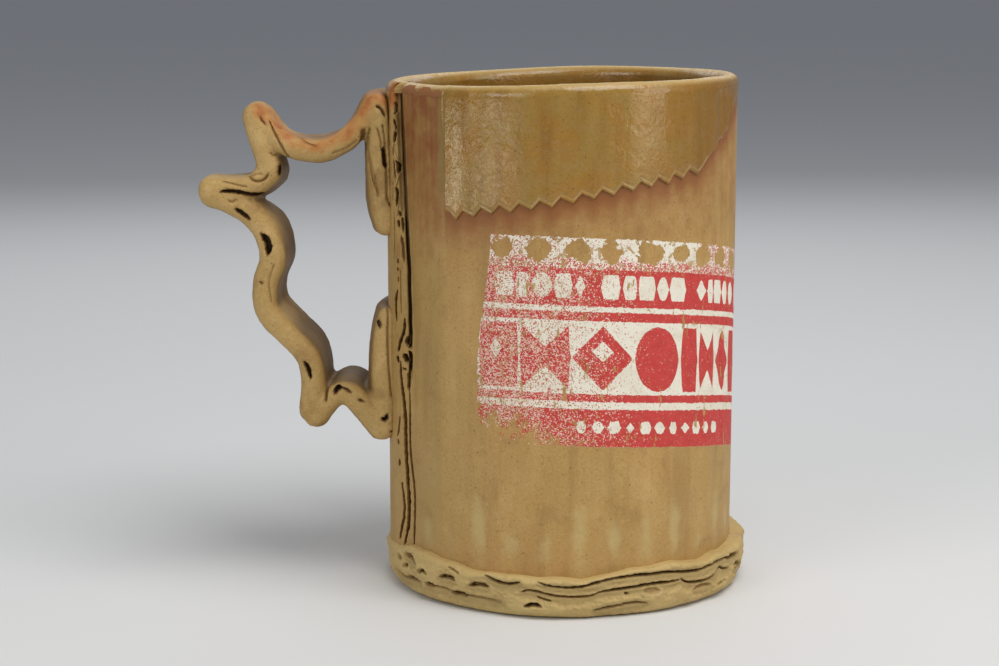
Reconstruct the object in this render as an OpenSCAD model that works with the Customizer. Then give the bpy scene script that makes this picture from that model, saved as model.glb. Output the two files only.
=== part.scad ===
// Hand-built stoneware mug, made to look like a tube of torn corrugated board.
// A slab is wrapped into a tube whose ends overlap in a split seam, a band of
// layered clay runs round the foot, and a folded strap makes the handle.
// Everything is joined wet and fired, so the mug is one solid in one node.
//
// Millimetres, +Z up. The origin is the middle of the flat underside, and the
// handle reaches along -X. Angles go round +Z from +X.

/* [Vessel] */
// Outside diameter of the wall
body_d = 87; // [70:1:110]
// Height of the rim above the table
body_h = 129; // [105:1:160]
// Thickness of the wall
wall = 4.4; // [3:0.2:6]
// Thickness of the floor
floor_t = 6; // [4:0.5:9]

/* [Overlapped seam] */
// Where the outer end of the wrapped slab meets the wall again
seam_angle = 205; // [198:1:212]
// How far the overlap stands out from the wall
seam_step = 1.8; // [1.2:0.1:3]
// How far the cut end leans back from square
seam_slant = 55; // [20:5:65]
// Angle over which the overlap dies back into the wall
wrap_angle = 140; // [90:5:160]
// Width of the dark gap in front of the cut end
seam_gap = 1; // [0.6:0.1:1.6]
// Depth of the splits in the cut end
seam_split = 1.6; // [0.8:0.1:2.2]

/* [Foot band] */
// Least height of the band's wavy top edge
band_h = 10; // [6:0.5:14]
// How much higher the edge is where it rides up the wall
band_rise = 2.5; // [2:0.5:9]
// How far the band stands out from the wall
band_t = 2.6; // [1.8:0.1:4]
// Height of the band's lower edge above the table
band_lift = 0.5; // [0.3:0.1:1]
// Depth of the splits between its layers
band_split = 1.3; // [0.6:0.1:1.8]

/* [Handle] */
// Reach of the outermost fold from the wall
handle_reach = 49; // [36:0.5:65]
// Height from the lowest fold to the top one
handle_h = 89; // [70:1:110]
// Distance of the top fold below the rim
handle_drop = 3.5; // [1:0.5:10]
// Width of the strap
strap_w = 26; // [18:1:32]
// Radius of the strap's soft edges
strap_r = 2.4; // [1.6:0.1:3]
// Depth of the splits in the strap's edges
strap_split = 2; // [1:0.2:3]

/* [Strip of tape] */
// How far the pressed-on strip stands out from the wall
tape_t = 0.6; // [0.4:0.1:1]
// Angle where its straight left side runs
tape_start = 230; // [226:1:236]
// Height of the strip's left side
tape_h = 29; // [20:1:40]
// Slope of the strip's toothed edge
tape_slope = 9; // [0:1:12]
// Width of one saw tooth, along the wall
tooth_w = 5; // [3:0.1:7]
// Height of one saw tooth
tooth_h = 1.8; // [1:0.1:3]
// Number of teeth
teeth = 14; // [8:1:16]

/* [Hidden] */

body_r = body_d / 2;
bore_r = body_r - wall;
lip_r = wall / 2;     // the rim is fully rounded
lip_steps = 10;       // facets round the lip
base_edge = 1.2;      // chamfer round the underside
round_fn = 128;
overlap = 0.5;        // depth that one shape sinks into the next where they join

// ---- helpers ----

function unit(v) = v / norm(v);
function polar(r, a) = [r * cos(a), r * sin(a)];
// A smooth bump round the mug, 1 at its centre and 0 opposite.
function lobe(a, centre, power) = pow((1 + cos(a - centre)) / 2, power);
// One span of a curve through p1 and p2, with its neighbours p0 and p3.
function span_point(p0, p1, p2, p3, t) =
    0.5 * (2 * p1 + (p2 - p0) * t + (2 * p0 - 5 * p1 + 4 * p2 - p3) * t * t
        + (3 * p1 - p0 - 3 * p2 + p3) * t * t * t);
function smooth(points, steps) = [
    for (i = [0 : len(points) - 2])
        for (k = [0 : steps - 1])
            span_point(points[max(i - 1, 0)], points[i], points[i + 1],
                points[min(i + 2, len(points) - 1)], k / steps),
    points[len(points) - 1]
];
// Faces that join rings of n points each, one after the other.
function ring_faces(rings, n, closed) = [
    for (i = [0 : rings - (closed ? 1 : 2)]) for (k = [0 : n - 1])
        let(j = (i + 1) % rings, m = (k + 1) % n)
            each [[i * n + k, i * n + m, j * n + m], [i * n + k, j * n + m, j * n + k]]
];

// A slot with pointed ends, as splits in stiff clay have, cut to a depth.
module split(length, width, depth) {
    linear_extrude(2 * depth, center = true) polygon([
        [-length / 2, 0],
        [-length / 5, width / 2],
        [length / 5, width / 2.4],
        [length / 2, 0],
        [length / 5, -width / 2.6],
        [-length / 5, -width / 2]
    ]);
}

// ---- vessel ----

// Profile of the tube: straight wall, floor and a lip with a round top.
module vessel() {
    color("peru") rotate_extrude($fn = round_fn) polygon(concat(
        [[0, 0], [body_r - base_edge, 0], [body_r, base_edge]],
        [for (i = [0 : lip_steps]) [body_r - lip_r, body_h - lip_r] + polar(lip_r, 180 * i / lip_steps)],
        [[0, body_h - lip_r]]
    ));
}
module hollow() {
    translate([0, 0, floor_t]) cylinder(r = bore_r, h = body_h, $fn = round_fn);
}

// ---- overlapped seam ----

// The overlap is a cylinder set off centre, which stands out by seam_step at
// seam_angle and meets the wall again at wrap_angle from there.
wrap_shift = seam_step / (1 - cos(wrap_angle));
wrap_r = body_r - wrap_shift * cos(wrap_angle);
module slab_end() {
    far = 2 * body_r;
    cut_foot = polar(body_r - 1, seam_angle);
    color("burlywood") intersection() {
        translate([wrap_shift * cos(seam_angle), wrap_shift * sin(seam_angle), band_lift + overlap])
            cylinder(r = wrap_r, h = body_h - band_lift - lip_r - 2 * overlap, $fn = round_fn);
        linear_extrude(body_h) polygon([
            [0, 0],
            cut_foot,
            cut_foot + polar(far, seam_angle - seam_slant),
            polar(far, seam_angle - 90),
            polar(far, seam_angle - wrap_angle)
        ]);
    }
}

// Splits between the layers of the cut end: [share of the height, share of the
// height it runs over, width, lean].
SEAM_SPLITS = [[0.78, 0.14, 1.3, 0], [0.55, 0.2, 1, 2], [0.26, 0.24, 1.2, -1]];
seam_split_back = 5.5;  // angle from the gap back to the splits
module seam_cuts() {
    gap_z = band_h + 7.5;
    rotate([0, 0, seam_angle + 0.8]) translate([body_r - 0.8, -seam_gap / 2, gap_z])
        cube([2 * seam_step, seam_gap, body_h - gap_z]);
    for (s = SEAM_SPLITS)
        rotate([0, 0, seam_angle - seam_split_back]) translate([body_r + seam_step, 0, body_h * s[0]])
            rotate([0, 90, 0]) rotate([0, 0, s[3]]) split(body_h * s[1], s[2], seam_split);
}

// ---- foot band ----

band_steps = 90;
band_r = 1.4;           // roundness of its top edge
tuck_in = 2.6;          // how far its foot curves in under it
tuck_up = 3.4;          // and from how high
hump_h = 2.2;           // extra height in front of the seam
hump_angle = seam_angle + 8;
// Height of the band's top edge, with a hump in front of the seam and a long
// rise on the side away from the handle.
function band_top(a) = band_h + band_rise * lobe(a, 0, 5) + hump_h * lobe(a, hump_angle, 16)
    + 0.4 * sin(7 * a) + 0.25 * sin(13 * a + 40);
function band_out(a) = body_r + band_t + 0.5 * cos(a) + 0.2 * sin(7 * a);
// Section of the band at an angle, from inside the wall round the soft outer face.
function band_section(a) = let(top = band_top(a), out = band_out(a)) [
    [body_r - lip_r, band_lift],
    [out - tuck_in, band_lift],
    [out - 0.3 * tuck_in, band_lift + 0.3 * tuck_up],
    [out, band_lift + tuck_up],
    [out, top - 2 * band_r],
    [out - 0.3 * band_r, top - band_r],
    [out - band_r, top - 0.2 * band_r],
    [body_r - 0.2, top],
    [body_r - lip_r, top]
];
module foot_band() {
    angles = [for (i = [0 : band_steps - 1]) 360 * i / band_steps];
    points = [for (a = angles) for (p = band_section(a)) [p[0] * cos(a), p[0] * sin(a), p[1]]];
    color("tan") polyhedron(points, ring_faces(band_steps, len(band_section(0)), true));
}

// Splits between the band's layers: [angle, height, length, width].
BAND_SPLITS = [
    [208, 8.5, 5, 1.6], [216, 5.5, 4, 1.4], [225, 4.5, 5, 1.2], [238, 7, 8, 1], [250, 3, 4, 1.4],
    [262, 2.8, 6, 1.6], [270, 6.5, 10, 0.9], [285, 6, 12, 1], [300, 7.5, 12, 1.1], [318, 9, 9, 1],
    [335, 8.6, 6, 1.1]
];
module band_cuts() {
    for (s = BAND_SPLITS)
        rotate([0, 0, s[0]]) translate([band_out(s[0]), 0, s[1]]) rotate([90, 0, 90])
            split(s[2], s[3], band_split);
}

// ---- handle ----

// The strap's lengths between its folds. Each point is the distance out from the
// wall, the height over the lowest fold and the thickness, in the proportions
// that strap_place stretches to the reach and height above.
STRAP = [
    // the end that lies up the wall under the rim
    [[2.6, 54.5, 4], [3.6, 61, 6], [4.2, 69, 6.4], [4.3, 77, 6.2], [4.8, 86.2, 5.6]],
    // down from the top fold, through the saddle and up to the outer one
    [[5.6, 86.4, 5.2], [8.4, 81.2, 5], [12.4, 76.6, 5.4], [18, 74.4, 6], [24.5, 74.6, 6],
        [29.5, 77, 5.6], [34, 82, 6.4]],
    // back down to the knee
    [[34.2, 82, 6.8], [33.4, 77.5, 6], [32, 73, 6], [31, 68.8, 6.4]],
    // out to the farthest fold
    [[31.4, 67.6, 6.6], [34.5, 64.8, 6], [39, 64.2, 5.6], [45.8, 63.8, 6.6]],
    // the long wavy length down to the lowest bend
    [[46, 62.6, 6.4], [41.5, 61, 5.6], [36, 58.4, 6], [32, 53.6, 6.6], [30.5, 47, 6.8],
        [32.5, 40.4, 6.6], [32, 33.6, 6.4], [27, 27.8, 6.2], [21.8, 22, 6.4], [20.6, 15, 6.4], [21, 8.2, 7]],
    // up over the hump and down to the last fold
    [[20, 7, 6.8], [16, 11, 5.8], [12.4, 13, 5.8], [9.2, 10, 6], [4.6, 3.6, 6.6]],
    // the end that lies up the wall
    [[4, 3.8, 6.6], [3.6, 12, 7], [3.6, 21, 6.8], [3.2, 28, 6.2], [2.8, 32.8, 4.6]]
];
strap_reach = max([for (run = STRAP) for (p = run) p[0] + p[2] / 2]);
strap_low = min([for (run = STRAP) for (p = run) p[1] - p[2] / 2]);
strap_top = max([for (run = STRAP) for (p = run) p[1] + p[2] / 2]);
strap_z0 = body_h - handle_drop - handle_h;
function strap_place(p) = [
    -(body_r + p[0] * handle_reach / strap_reach),
    strap_z0 + (p[1] - strap_low) * handle_h / (strap_top - strap_low),
    p[2]
];
runs = [for (run = STRAP) smooth([for (p = run) strap_place(p)], 2)];

function heading(points, i) = let(
    step = points[min(i + 1, len(points) - 1)] - points[max(i - 1, 0)]
) unit([step[0], step[1]]);

// The strap's section across its run: a slab with soft edges, shrunk by a share
// where an end rounds off.
corner_turns = [0, 30, 60, 90];
function strap_section(p, d, share) = let(
    half_t = p[2] / 2 * share,
    r = min(strap_r, half_t * 0.95),
    half_w = strap_w / 2 - strap_r * (1 - share)
) [for (corner = [0 : 3]) for (turn = corner_turns) let(
    a = 90 * corner + turn,
    u = (corner == 0 || corner == 3 ? 1 : -1) * (half_t - r) + r * cos(a),
    v = (corner < 2 ? 1 : -1) * (half_w - r) + r * sin(a)
) [p[0] - d[1] * u, v, p[1] + d[0] * u]];

// One length of strap along a line of points, with rounded ends.
end_turns = [75, 50, 25];
function end_section(p, d, turn) =
    strap_section(p + [d[0], d[1], 0] * p[2] / 2 * sin(turn), d, cos(turn));
module strap_run(points) {
    last = len(points) - 1;
    start_d = heading(points, 0);
    stop_d = heading(points, last);
    rings = concat(
        [for (turn = end_turns) end_section(points[0], start_d, -turn)],
        [for (i = [0 : last]) strap_section(points[i], heading(points, i), 1)],
        [for (k = [len(end_turns) - 1 : -1 : 0]) end_section(points[last], stop_d, end_turns[k])]
    );
    n = len(rings[0]);
    polyhedron([for (ring = rings) each ring], concat(
        [[for (k = [n - 1 : -1 : 0]) k]],
        ring_faces(len(rings), n, false),
        [[for (k = [0 : n - 1]) (len(rings) - 1) * n + k]]
    ));
}
module strap() {
    color("tan") for (points = runs) strap_run(points);
}

// Splits in the strap's edges: which length, share of the way along it, long and wide.
STRAP_SPLITS = [
    [0, 0.5, 9, 1.4], [0, 0.85, 4, 1], [1, 0.5, 5, 1], [2, 0.85, 4, 1.8], [3, 0.3, 6, 1], [4, 0.12, 5, 1.2],
    [4, 0.27, 6, 2], [4, 0.82, 5, 1.2], [5, 0.5, 4, 2], [6, 0.1, 4, 2]
];
module strap_cuts() {
    for (s = STRAP_SPLITS) let(
        points = runs[s[0]],
        i = round(s[1] * (len(points) - 1)),
        d = heading(points, i)
    ) translate([points[i][0], 0, points[i][1]]) rotate([90, 0, 0]) rotate([0, 0, atan2(d[1], d[0])])
        for (face = [-1, 1]) translate([0, 0, face * strap_w / 2]) split(s[2], s[3], strap_split);
}

// ---- strip of tape ----

// Toothed strips side by side round the front, which a slightly larger cylinder
// trims to a thin skin on the wall. Past the last tooth the strip ends in a
// smooth tear that runs up towards the rim.
tooth_tip = 0.58;       // share of a tooth's width from its left side to its tip
tear_angle = 24;        // how far round the wall the tear runs
tear_share = 0.75;      // share of the height left that it climbs
tear_steps = 4;
tape_r = body_r + tape_t;
tape_top = body_h - lip_r - overlap;
tape_base = tape_top - tape_h;
tape_turn = 2 * asin(tooth_w / 2 / tape_r);
function tape_edge(i) = tape_base + i * tooth_w * tan(tape_slope);
// One strip, standing on the wall with the outline [along the wall, height].
module tape_strip(a, outline) {
    inside = 1.5;
    rotate([0, 0, a]) translate([body_r - inside, 0, 0]) rotate([90, 0, 90])
        linear_extrude(inside + 2 * tape_t) polygon(outline);
}
module tape() {
    lap = 0.05;         // each strip runs this far into the next
    half = tooth_w / 2 + lap;
    tip = (tooth_tip - 0.5) * tooth_w;
    tear_start = tape_start + tape_turn * teeth;
    tear_z = tape_edge(teeth);
    tear_h = (tape_top - tear_z) * tear_share;
    step = tear_angle / tear_steps;
    wide = tape_r * tan(step / 2) + lap;
    color("goldenrod") intersection() {
        cylinder(r = tape_r, h = tape_top, $fn = round_fn);
        union() {
            for (i = [0 : teeth - 1]) tape_strip(tape_start + tape_turn * (i + 0.5), [
                [-half, tape_edge(i) + tooth_h / 2],
                [tip, tape_edge(i + tooth_tip) - tooth_h / 2],
                [half, tape_edge(i + 1) + tooth_h / 2],
                [half, body_h],
                [-half, body_h]
            ]);
            for (k = [0 : tear_steps - 1]) tape_strip(tear_start + step * (k + 0.5), [
                [-wide, tear_z + tear_h * k / tear_steps],
                [wide, tear_z + tear_h * (k + 1) / tear_steps],
                [wide, body_h],
                [-wide, body_h]
            ]);
        }
    }
}

// ---- the mug ----

module mug() {
    difference() {
        union() {
            vessel();
            slab_end();
            foot_band();
            tape();
            strap();
        }
        hollow();
        seam_cuts();
        band_cuts();
        strap_cuts();
    }
}

mug();
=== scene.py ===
# %% [markdown]
# # A stoneware mug made to look like torn cardboard
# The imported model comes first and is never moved. It gives the true sizes, and
# every piece below is modelled over it, in the same frame and in metres.
# %% Start
import math

import bmesh
import bpy
import numpy as np
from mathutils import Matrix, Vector, noise


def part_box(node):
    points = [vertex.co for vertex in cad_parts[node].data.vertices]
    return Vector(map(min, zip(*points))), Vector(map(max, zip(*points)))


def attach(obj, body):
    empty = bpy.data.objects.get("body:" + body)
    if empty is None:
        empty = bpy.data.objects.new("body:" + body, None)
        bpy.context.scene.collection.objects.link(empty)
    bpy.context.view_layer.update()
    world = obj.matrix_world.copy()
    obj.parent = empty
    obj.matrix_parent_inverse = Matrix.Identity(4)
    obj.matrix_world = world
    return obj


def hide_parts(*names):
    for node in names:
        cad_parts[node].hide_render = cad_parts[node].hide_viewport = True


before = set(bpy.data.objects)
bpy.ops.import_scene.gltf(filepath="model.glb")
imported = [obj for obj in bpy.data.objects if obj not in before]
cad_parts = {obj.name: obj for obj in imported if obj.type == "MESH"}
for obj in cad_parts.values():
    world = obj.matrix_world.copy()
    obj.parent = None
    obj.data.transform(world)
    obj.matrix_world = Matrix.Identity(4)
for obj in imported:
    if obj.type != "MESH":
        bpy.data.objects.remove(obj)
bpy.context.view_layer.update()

low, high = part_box("mug")
print("the mug stands", round((high.z - low.z) * 1000, 1), "mm high")

# %% [markdown]
# ## Sizes
# The clay is worked out in millimetres, as a potter would measure it, and each
# mesh is scaled to metres once, when it is finished. Angles go round the mug
# from +X, so the handle is at 180 and the front at 270.
# %% Sizes in millimetres
MM = 0.001
HEIGHT = high.z / MM            # rim above the table
WALL_R = 43.5                   # outside radius of the wall
WALL = 4.4                      # its thickness
FLOOR = 6.0
LIP_R = WALL / 2                # the rim is fully rounded
LIP_Z = HEIGHT - LIP_R
SEAM = 205.0                    # where the wrapped slab ends
SEAM_STEP = 1.8                 # how far the slab's end stands out
WRAP = 140.0                    # the angle over which it dies away
BAND_R = 46.1                   # outside radius of the foot band
DEGREE = 0.76                   # millimetres along the wall for one degree round it
FULL_TURN = 2 * math.pi
print("wall", WALL_R, "mm out to", LIP_Z, "mm up")


# %% [markdown]
# ## Helpers for clay
# Clay is never quite even. These helpers give slow waves, a curve through given
# points, and the depth that a set of cuts presses into a surface. A cut
# is a line of points with a width and a depth: it is steep at its sides, flat
# at its floor, and pointed at its ends, as a split in stiff clay is.
# %% Waves, curves and cuts
def polar(radius, degrees):
    a = np.radians(degrees)
    return radius * np.cos(a), radius * np.sin(a)


def fade(x, start, end):
    """0 before start, 1 after end and a smooth step between."""
    t = np.clip((np.asarray(x, float) - start) / (end - start), 0, 1)
    return t * t * (3 - 2 * t)


def bell(x, width):
    """1 where x is 0, falling away smoothly over that width on both sides."""
    return np.exp(-((x / width) ** 2))


def lumps(points, size, seed=0.0):
    """Smooth random unevenness from -1 to 1, with lumps of about that size."""
    shift = Vector((seed * 7.1, seed * 3.7, seed * 5.3))
    return np.array([noise.noise(Vector(p) / size + shift) for p in points])


def through(points, steps=6):
    """A smooth curve through the points."""
    p = np.array(points, float)
    p = np.vstack([2 * p[0] - p[1], p, 2 * p[-1] - p[-2]])
    t = np.linspace(0, 1, steps, endpoint=False)[:, None]
    rows = [0.5 * (2 * b + (c - a) * t + (2 * a - 5 * b + 4 * c - d) * t**2
                   + (3 * b - a - 3 * c + d) * t**3)
            for a, b, c, d in zip(p, p[1:], p[2:], p[3:])]
    return np.vstack(rows + [p[-2:-1]])


def nearest(points, line):
    """Distance of each point from a line, and the share of the way along it."""
    best, along = np.full(len(points), 1e9), np.zeros(len(points))
    legs = np.linalg.norm(np.diff(line, axis=0), axis=1)
    ends = np.concatenate([[0], np.cumsum(legs)]) / max(legs.sum(), 1e-9)
    for a, b, s0, s1 in zip(line, line[1:], ends, ends[1:]):
        ab = b - a
        t = np.clip((points - a) @ ab / max(ab @ ab, 1e-12), 0, 1)
        gap = np.linalg.norm(points - a - t[:, None] * ab, axis=1)
        closer = gap < best
        best[closer], along[closer] = gap[closer], (s0 + (s1 - s0) * t)[closer]
    return best, along


def rough(points, *layers):
    """Unevenness in several layers, each a height, the size of its lumps and a seed."""
    return sum(height * lumps(points, size, seed) for height, size, seed in layers)


def cut_list(text):
    """Cuts written as "width depth: x,y x,y ..." with a semicolon between them."""
    cuts = []
    for row in text.split(";"):
        size, line = row.split(":")
        wide, deep = map(float, size.split())
        cuts.append((wide, deep, [tuple(map(float, p.split(","))) for p in line.split()]))
    return cuts


def cut(points, cuts, edge=0.3):
    """How deep the cuts press into points on a flat map, how much painted shade
    darkens them there, and how far the clay swells beside them."""
    depth, dark, swell = (np.zeros(len(points)) for _ in range(3))
    for wide, deep, line in cuts:
        line = through(line) if len(line) > 2 else np.array(line, float)
        reach = wide + 2.5
        near = ((points > line.min(0) - reach) & (points < line.max(0) + reach)).all(1)
        near = np.where(near)[0]
        if not len(near):
            continue
        gap, along = nearest(points[near], line)
        ragged = lumps(np.column_stack([points[near], np.zeros(len(near))]), 0.8, 41)
        gap = gap * (1 + 0.4 * ragged)
        pointed = np.sqrt(np.clip(np.sin(np.pi * along), 0, 1))
        half = wide / 2 * np.clip(1.25 * pointed, 0.15, 1)
        inside = 1 - fade(gap, half * 0.55, half + edge)
        depth[near] = np.maximum(depth[near], deep * inside)
        dark[near] = np.maximum(dark[near], inside * min(1, deep / 1.7))
        bulge = min(wide, 1) * bell(gap - half - 0.5, 0.55)
        swell[near] = np.maximum(swell[near], bulge)
    return depth, dark, swell * (1 - np.clip(dark, 0, 1))


trial = cut(np.array([[0.0, 0.0], [0.4, 0.0]]), [(1, 1, [(0, -3), (0, 3)])])
print("a cut 1 mm wide and deep:", trial[0])


# %% [markdown]
# ## Helpers for meshes
# A sheet of quads from bmesh's own grid is bent into each shape by moving its
# vertices, which keeps the faces even. Where two edges of the sheet meet, the
# doubles are merged. Values such as the painted shade in a crevice are stored
# at each vertex, and the finishes read them.
# %% Sheets, finished pieces and stored values
def sheet(across, along):
    """A grid of faces, and the column and row of each of its vertices."""
    bm = bmesh.new()
    bmesh.ops.create_grid(bm, x_segments=across, y_segments=along, size=0.5)
    co = np.array([v.co for v in bm.verts]) + 0.5
    return bm, np.rint(co[:, 0] * across).astype(int), np.rint(co[:, 1] * along).astype(int)


def place(bm, points):
    for v, p in zip(bm.verts, points):
        v.co = p


def show(name, data):
    """An object in the scene for that mesh, light or camera."""
    thing = bpy.data.objects.new(name, data)
    bpy.context.collection.objects.link(thing)
    return thing


def to_mesh(bm, name):
    """The bmesh as a mesh. The bmesh is freed."""
    mesh = bpy.data.meshes.new(name)
    bm.to_mesh(mesh)
    bm.free()
    return mesh


def finish(bm, name, values, material, merge=0.0):
    """Makes the bmesh an object in metres, riding on the mug's one body."""
    layers = {key: bm.verts.layers.float.new(key) for key in values}
    for key, layer in layers.items():
        for v, value in zip(bm.verts, values[key]):
            v[layer] = float(value)
    if merge:
        bmesh.ops.remove_doubles(bm, verts=bm.verts, dist=merge)
    bmesh.ops.recalc_face_normals(bm, faces=bm.faces)
    bmesh.ops.scale(bm, vec=(MM, MM, MM), verts=bm.verts)
    for face in bm.faces:
        face.smooth = True
    mesh = to_mesh(bm, name)
    mesh.materials.append(material)
    piece = show(name, mesh)
    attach(piece, "root")
    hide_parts("mug")
    print(name, len(mesh.polygons), "faces")


# %% [markdown]
# ## Helpers for finishes
# A finish is a small tree of nodes. This class writes one with few words: each
# call adds a node and returns its output, and plain numbers go straight on the
# node's own socket.
# %% A short way to write node trees
class Finish:
    def __init__(self, name):
        self.material = bpy.data.materials.new(name)
        self.material.use_nodes = True
        self.tree = self.material.node_tree
        self.shader = self.tree.nodes["Principled BSDF"]
        self.coords = self.add("ShaderNodeTexCoord").outputs["Object"]

    def add(self, kind, sockets=None, **settings):
        node = self.tree.nodes.new(kind)
        for key, value in settings.items():
            setattr(node, key, value)
        for key, value in (sockets or {}).items():
            self.put(node.inputs[key], value)
        return node

    def put(self, socket, value):
        if isinstance(value, bpy.types.NodeSocket):
            self.tree.links.new(value, socket)
        elif socket.type == "RGBA" and len(value) == 3:
            socket.default_value = (*value, 1)
        else:
            socket.default_value = value

    def math(self, operation, a, b=0.0, c=0.0):
        return self.add("ShaderNodeMath", {0: a, 1: b, 2: c}, operation=operation).outputs[0]

    def times(self, a, b):
        return self.math("MULTIPLY", a, b)

    def plus(self, a, b):
        return self.math("ADD", a, b)

    def less(self, a, b):
        return self.math("SUBTRACT", a, b)

    def most(self, first, *others):
        for other in others:
            first = self.math("MAXIMUM", first, other)
        return first

    def swing(self, noise, reach=None):
        """Noise from 0 to 1 as a swing about zero."""
        centred = self.plus(noise, -0.5)
        return centred if reach is None else self.times(centred, reach)

    def step(self, value, start, end, to_low=0.0, to_high=1.0):
        sockets = {0: value, 1: start, 2: end, 3: to_low, 4: to_high}
        return self.add("ShaderNodeMapRange", sockets,
                        interpolation_type="SMOOTHSTEP").outputs[0]

    def mix(self, share, a, b):
        node = self.add("ShaderNodeMix", {0: share, 6: a, 7: b}, data_type="RGBA")
        return node.outputs[2]

    def tint(self, colour, other, value, start, end, most=1.0):
        """The colour turning into another as a value goes from start to end."""
        return self.mix(self.step(value, start, end, 0, most), colour, other)

    def mark(self, colour, other, name, most):
        """The colour turning into another by a stored value."""
        return self.mix(self.times(self.stored(name), most), colour, other)

    def stretched(self, x=1.0, y=1.0, z=1.0, coords=None):
        sockets = {"Vector": coords or self.coords, "Scale": (x, y, z)}
        return self.add("ShaderNodeMapping", sockets).outputs[0]

    def noise(self, size, detail=3.0, rough=0.55, coords=None, unit=MM):
        """Noise whose lumps are about that many millimetres across."""
        return self.add("ShaderNodeTexNoise", {
            "Vector": coords or self.coords, "Scale": 1 / (size * unit),
            "Detail": detail, "Roughness": rough}).outputs[0]

    def specked(self, colour, apart, size, most):
        """The colour with small dark specks, that many millimetres apart."""
        cells = self.add("ShaderNodeTexVoronoi", {"Vector": self.coords, "Scale": 1 / (apart * MM)})
        return self.tint(colour, SPECK_AND_SHADE_BROWN, cells.outputs["Distance"], size, 0.05, most)

    def stored(self, name):
        return self.add("ShaderNodeAttribute", attribute_name=name).outputs["Fac"]

    def relief(self, height, strength, distance, below=None):
        node = self.add("ShaderNodeBump", {
            "Height": height, "Strength": strength, "Distance": distance * MM})
        if below:
            self.put(node.inputs["Normal"], below)
        return node.outputs[0]

    def set(self, **sockets):
        for key, value in sockets.items():
            self.put(self.shader.inputs[key.replace("_", " ")], value)
        return self.material


def rgb(red, green, blue):
    """A colour from 0 to 255 as a screen shows it, as the linear light that a shader takes."""
    return tuple(((c / 255 + 0.055) / 1.055) ** 2.4 for c in (red, green, blue))


# %% [markdown]
# ## The clay
# The unglazed stoneware is a warm tan with fine dark and light grains, slow
# patches where the flame touched it, and a soft waxy sheen. Every bare piece
# shares this finish, and each adds its own marks. Crevices get painted shade:
# their colour turns brown and then near black.
# %% The stoneware finish
CLAY = rgb(180, 148, 90)
WALL_CLAY = rgb(184, 146, 85)
CLAY_PALE = rgb(204, 171, 114)
CLAY_DEEP = rgb(142, 106, 58)
GREENISH = rgb(176, 145, 84)
RUST = rgb(146, 78, 40)
ORANGE = rgb(180, 106, 42)
PAINTED_SHADE_BROWN = rgb(98, 70, 32)
# The near-black brown serves both the clay's real dark specks and the painted shade in crevices.
SPECK_AND_SHADE_BROWN = rgb(54, 35, 17)


def clay(name, body=CLAY, patch=0.5):
    """The bare clay: the finish, its colour and its relief so far."""
    f = Finish(name)
    colour = f.tint(body, GREENISH, f.noise(22, 3, 0.5), 0.35, 0.65, 0.6)
    warm = f.noise(9, 4, 0.6)
    colour = f.tint(colour, CLAY_PALE, warm, 0.5, 0.72, patch)
    colour = f.tint(colour, CLAY_DEEP, warm, 0.47, 0.3, patch)
    grain = f.noise(0.55, 2, 0.6)
    colour = f.tint(colour, CLAY_PALE, grain, 0.55, 0.75, 0.5)
    colour = f.tint(colour, CLAY_DEEP, grain, 0.46, 0.28, 0.55)
    colour = f.specked(colour, 3.1, 0.09, 0.55)
    height = f.plus(f.times(grain, 0.5), f.noise(1.6, 4, 0.6))
    return f, colour, height, grain


def shaded(f, colour):
    """The colour with painted shade in its crevices, brown and then near black."""
    dark = f.stored("dark")
    colour = f.tint(colour, CLAY_DEEP, dark, 0.0, 0.55, 0.55)
    return f.tint(colour, SPECK_AND_SHADE_BROWN, dark, 0.35, 1.0, 0.93)


def kiln_marks(f, colour):
    """What the flame and the ashes left on the wall, with the streaks that go with it."""
    streak = f.noise(6, 3, 0.55, f.stretched(1, 1, 0.12))
    colour = f.tint(colour, CLAY_PALE, streak, 0.5, 0.75, 0.3)
    colour = f.tint(colour, CLAY_DEEP, streak, 0.5, 0.3, 0.35)
    breakup = f.swing(f.noise(4, 4, 0.6))
    lines = f.swing(f.noise(1.6, 4, 0.6, f.stretched(1, 1, 0.07)), 0.8)
    panel = f.stored("panel")
    panel = f.plus(panel, f.times(f.plus(breakup, lines), f.times(panel, 1.2)))
    colour = f.tint(colour, rgb(142, 102, 52), panel, 0.1, 0.8, 0.72)
    colour = f.tint(colour, rgb(128, 70, 34), panel, 0.6, 1.25, 0.85)
    return colour, streak, breakup


def flame_flash(f, colour):
    """The orange blush where the flame met an edge."""
    flash = f.stored("flash")
    flash = f.plus(flash, f.times(flash, f.swing(f.noise(3, 4, 0.6), 2.6)))
    colour = f.tint(colour, ORANGE, flash, 0.05, 1.0, 0.7)
    return f.tint(colour, RUST, flash, 0.7, 1.25, 0.7)


def bare(f, colour, grain, specular, normal):
    """The bare clay's last steps: its flashes, the painted shade in its crevices and its dull
    sheen.
    """
    dullness = f.step(f.plus(grain, f.noise(7, 2)), 0.7, 1.4, 0.55, 0.75)
    return f.set(Base_Color=shaded(f, flame_flash(f, colour)), Roughness=dullness,
                 Specular_IOR_Level=specular, Normal=normal)


def plain_clay(name, body=CLAY, pale=CLAY_PALE):
    """Bare clay with paler ridges and painted brown shade where those are stored."""
    f, colour, height, grain = clay(name, body, 0.7)
    colour = f.mark(colour, pale, "pale", 0.75)
    # Painted shade: broad faces and recesses are browned where that is stored.
    colour = f.mark(colour, PAINTED_SHADE_BROWN, "ash", 0.85)
    return bare(f, colour, grain, 0.36, f.relief(height, 0.8, 0.22))


edge_clay = plain_clay("stoneware_edge")
foot_clay = plain_clay("stoneware_foot", rgb(182, 158, 100), rgb(206, 181, 124))
print("clay nodes:", len(edge_clay.node_tree.nodes))

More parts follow.
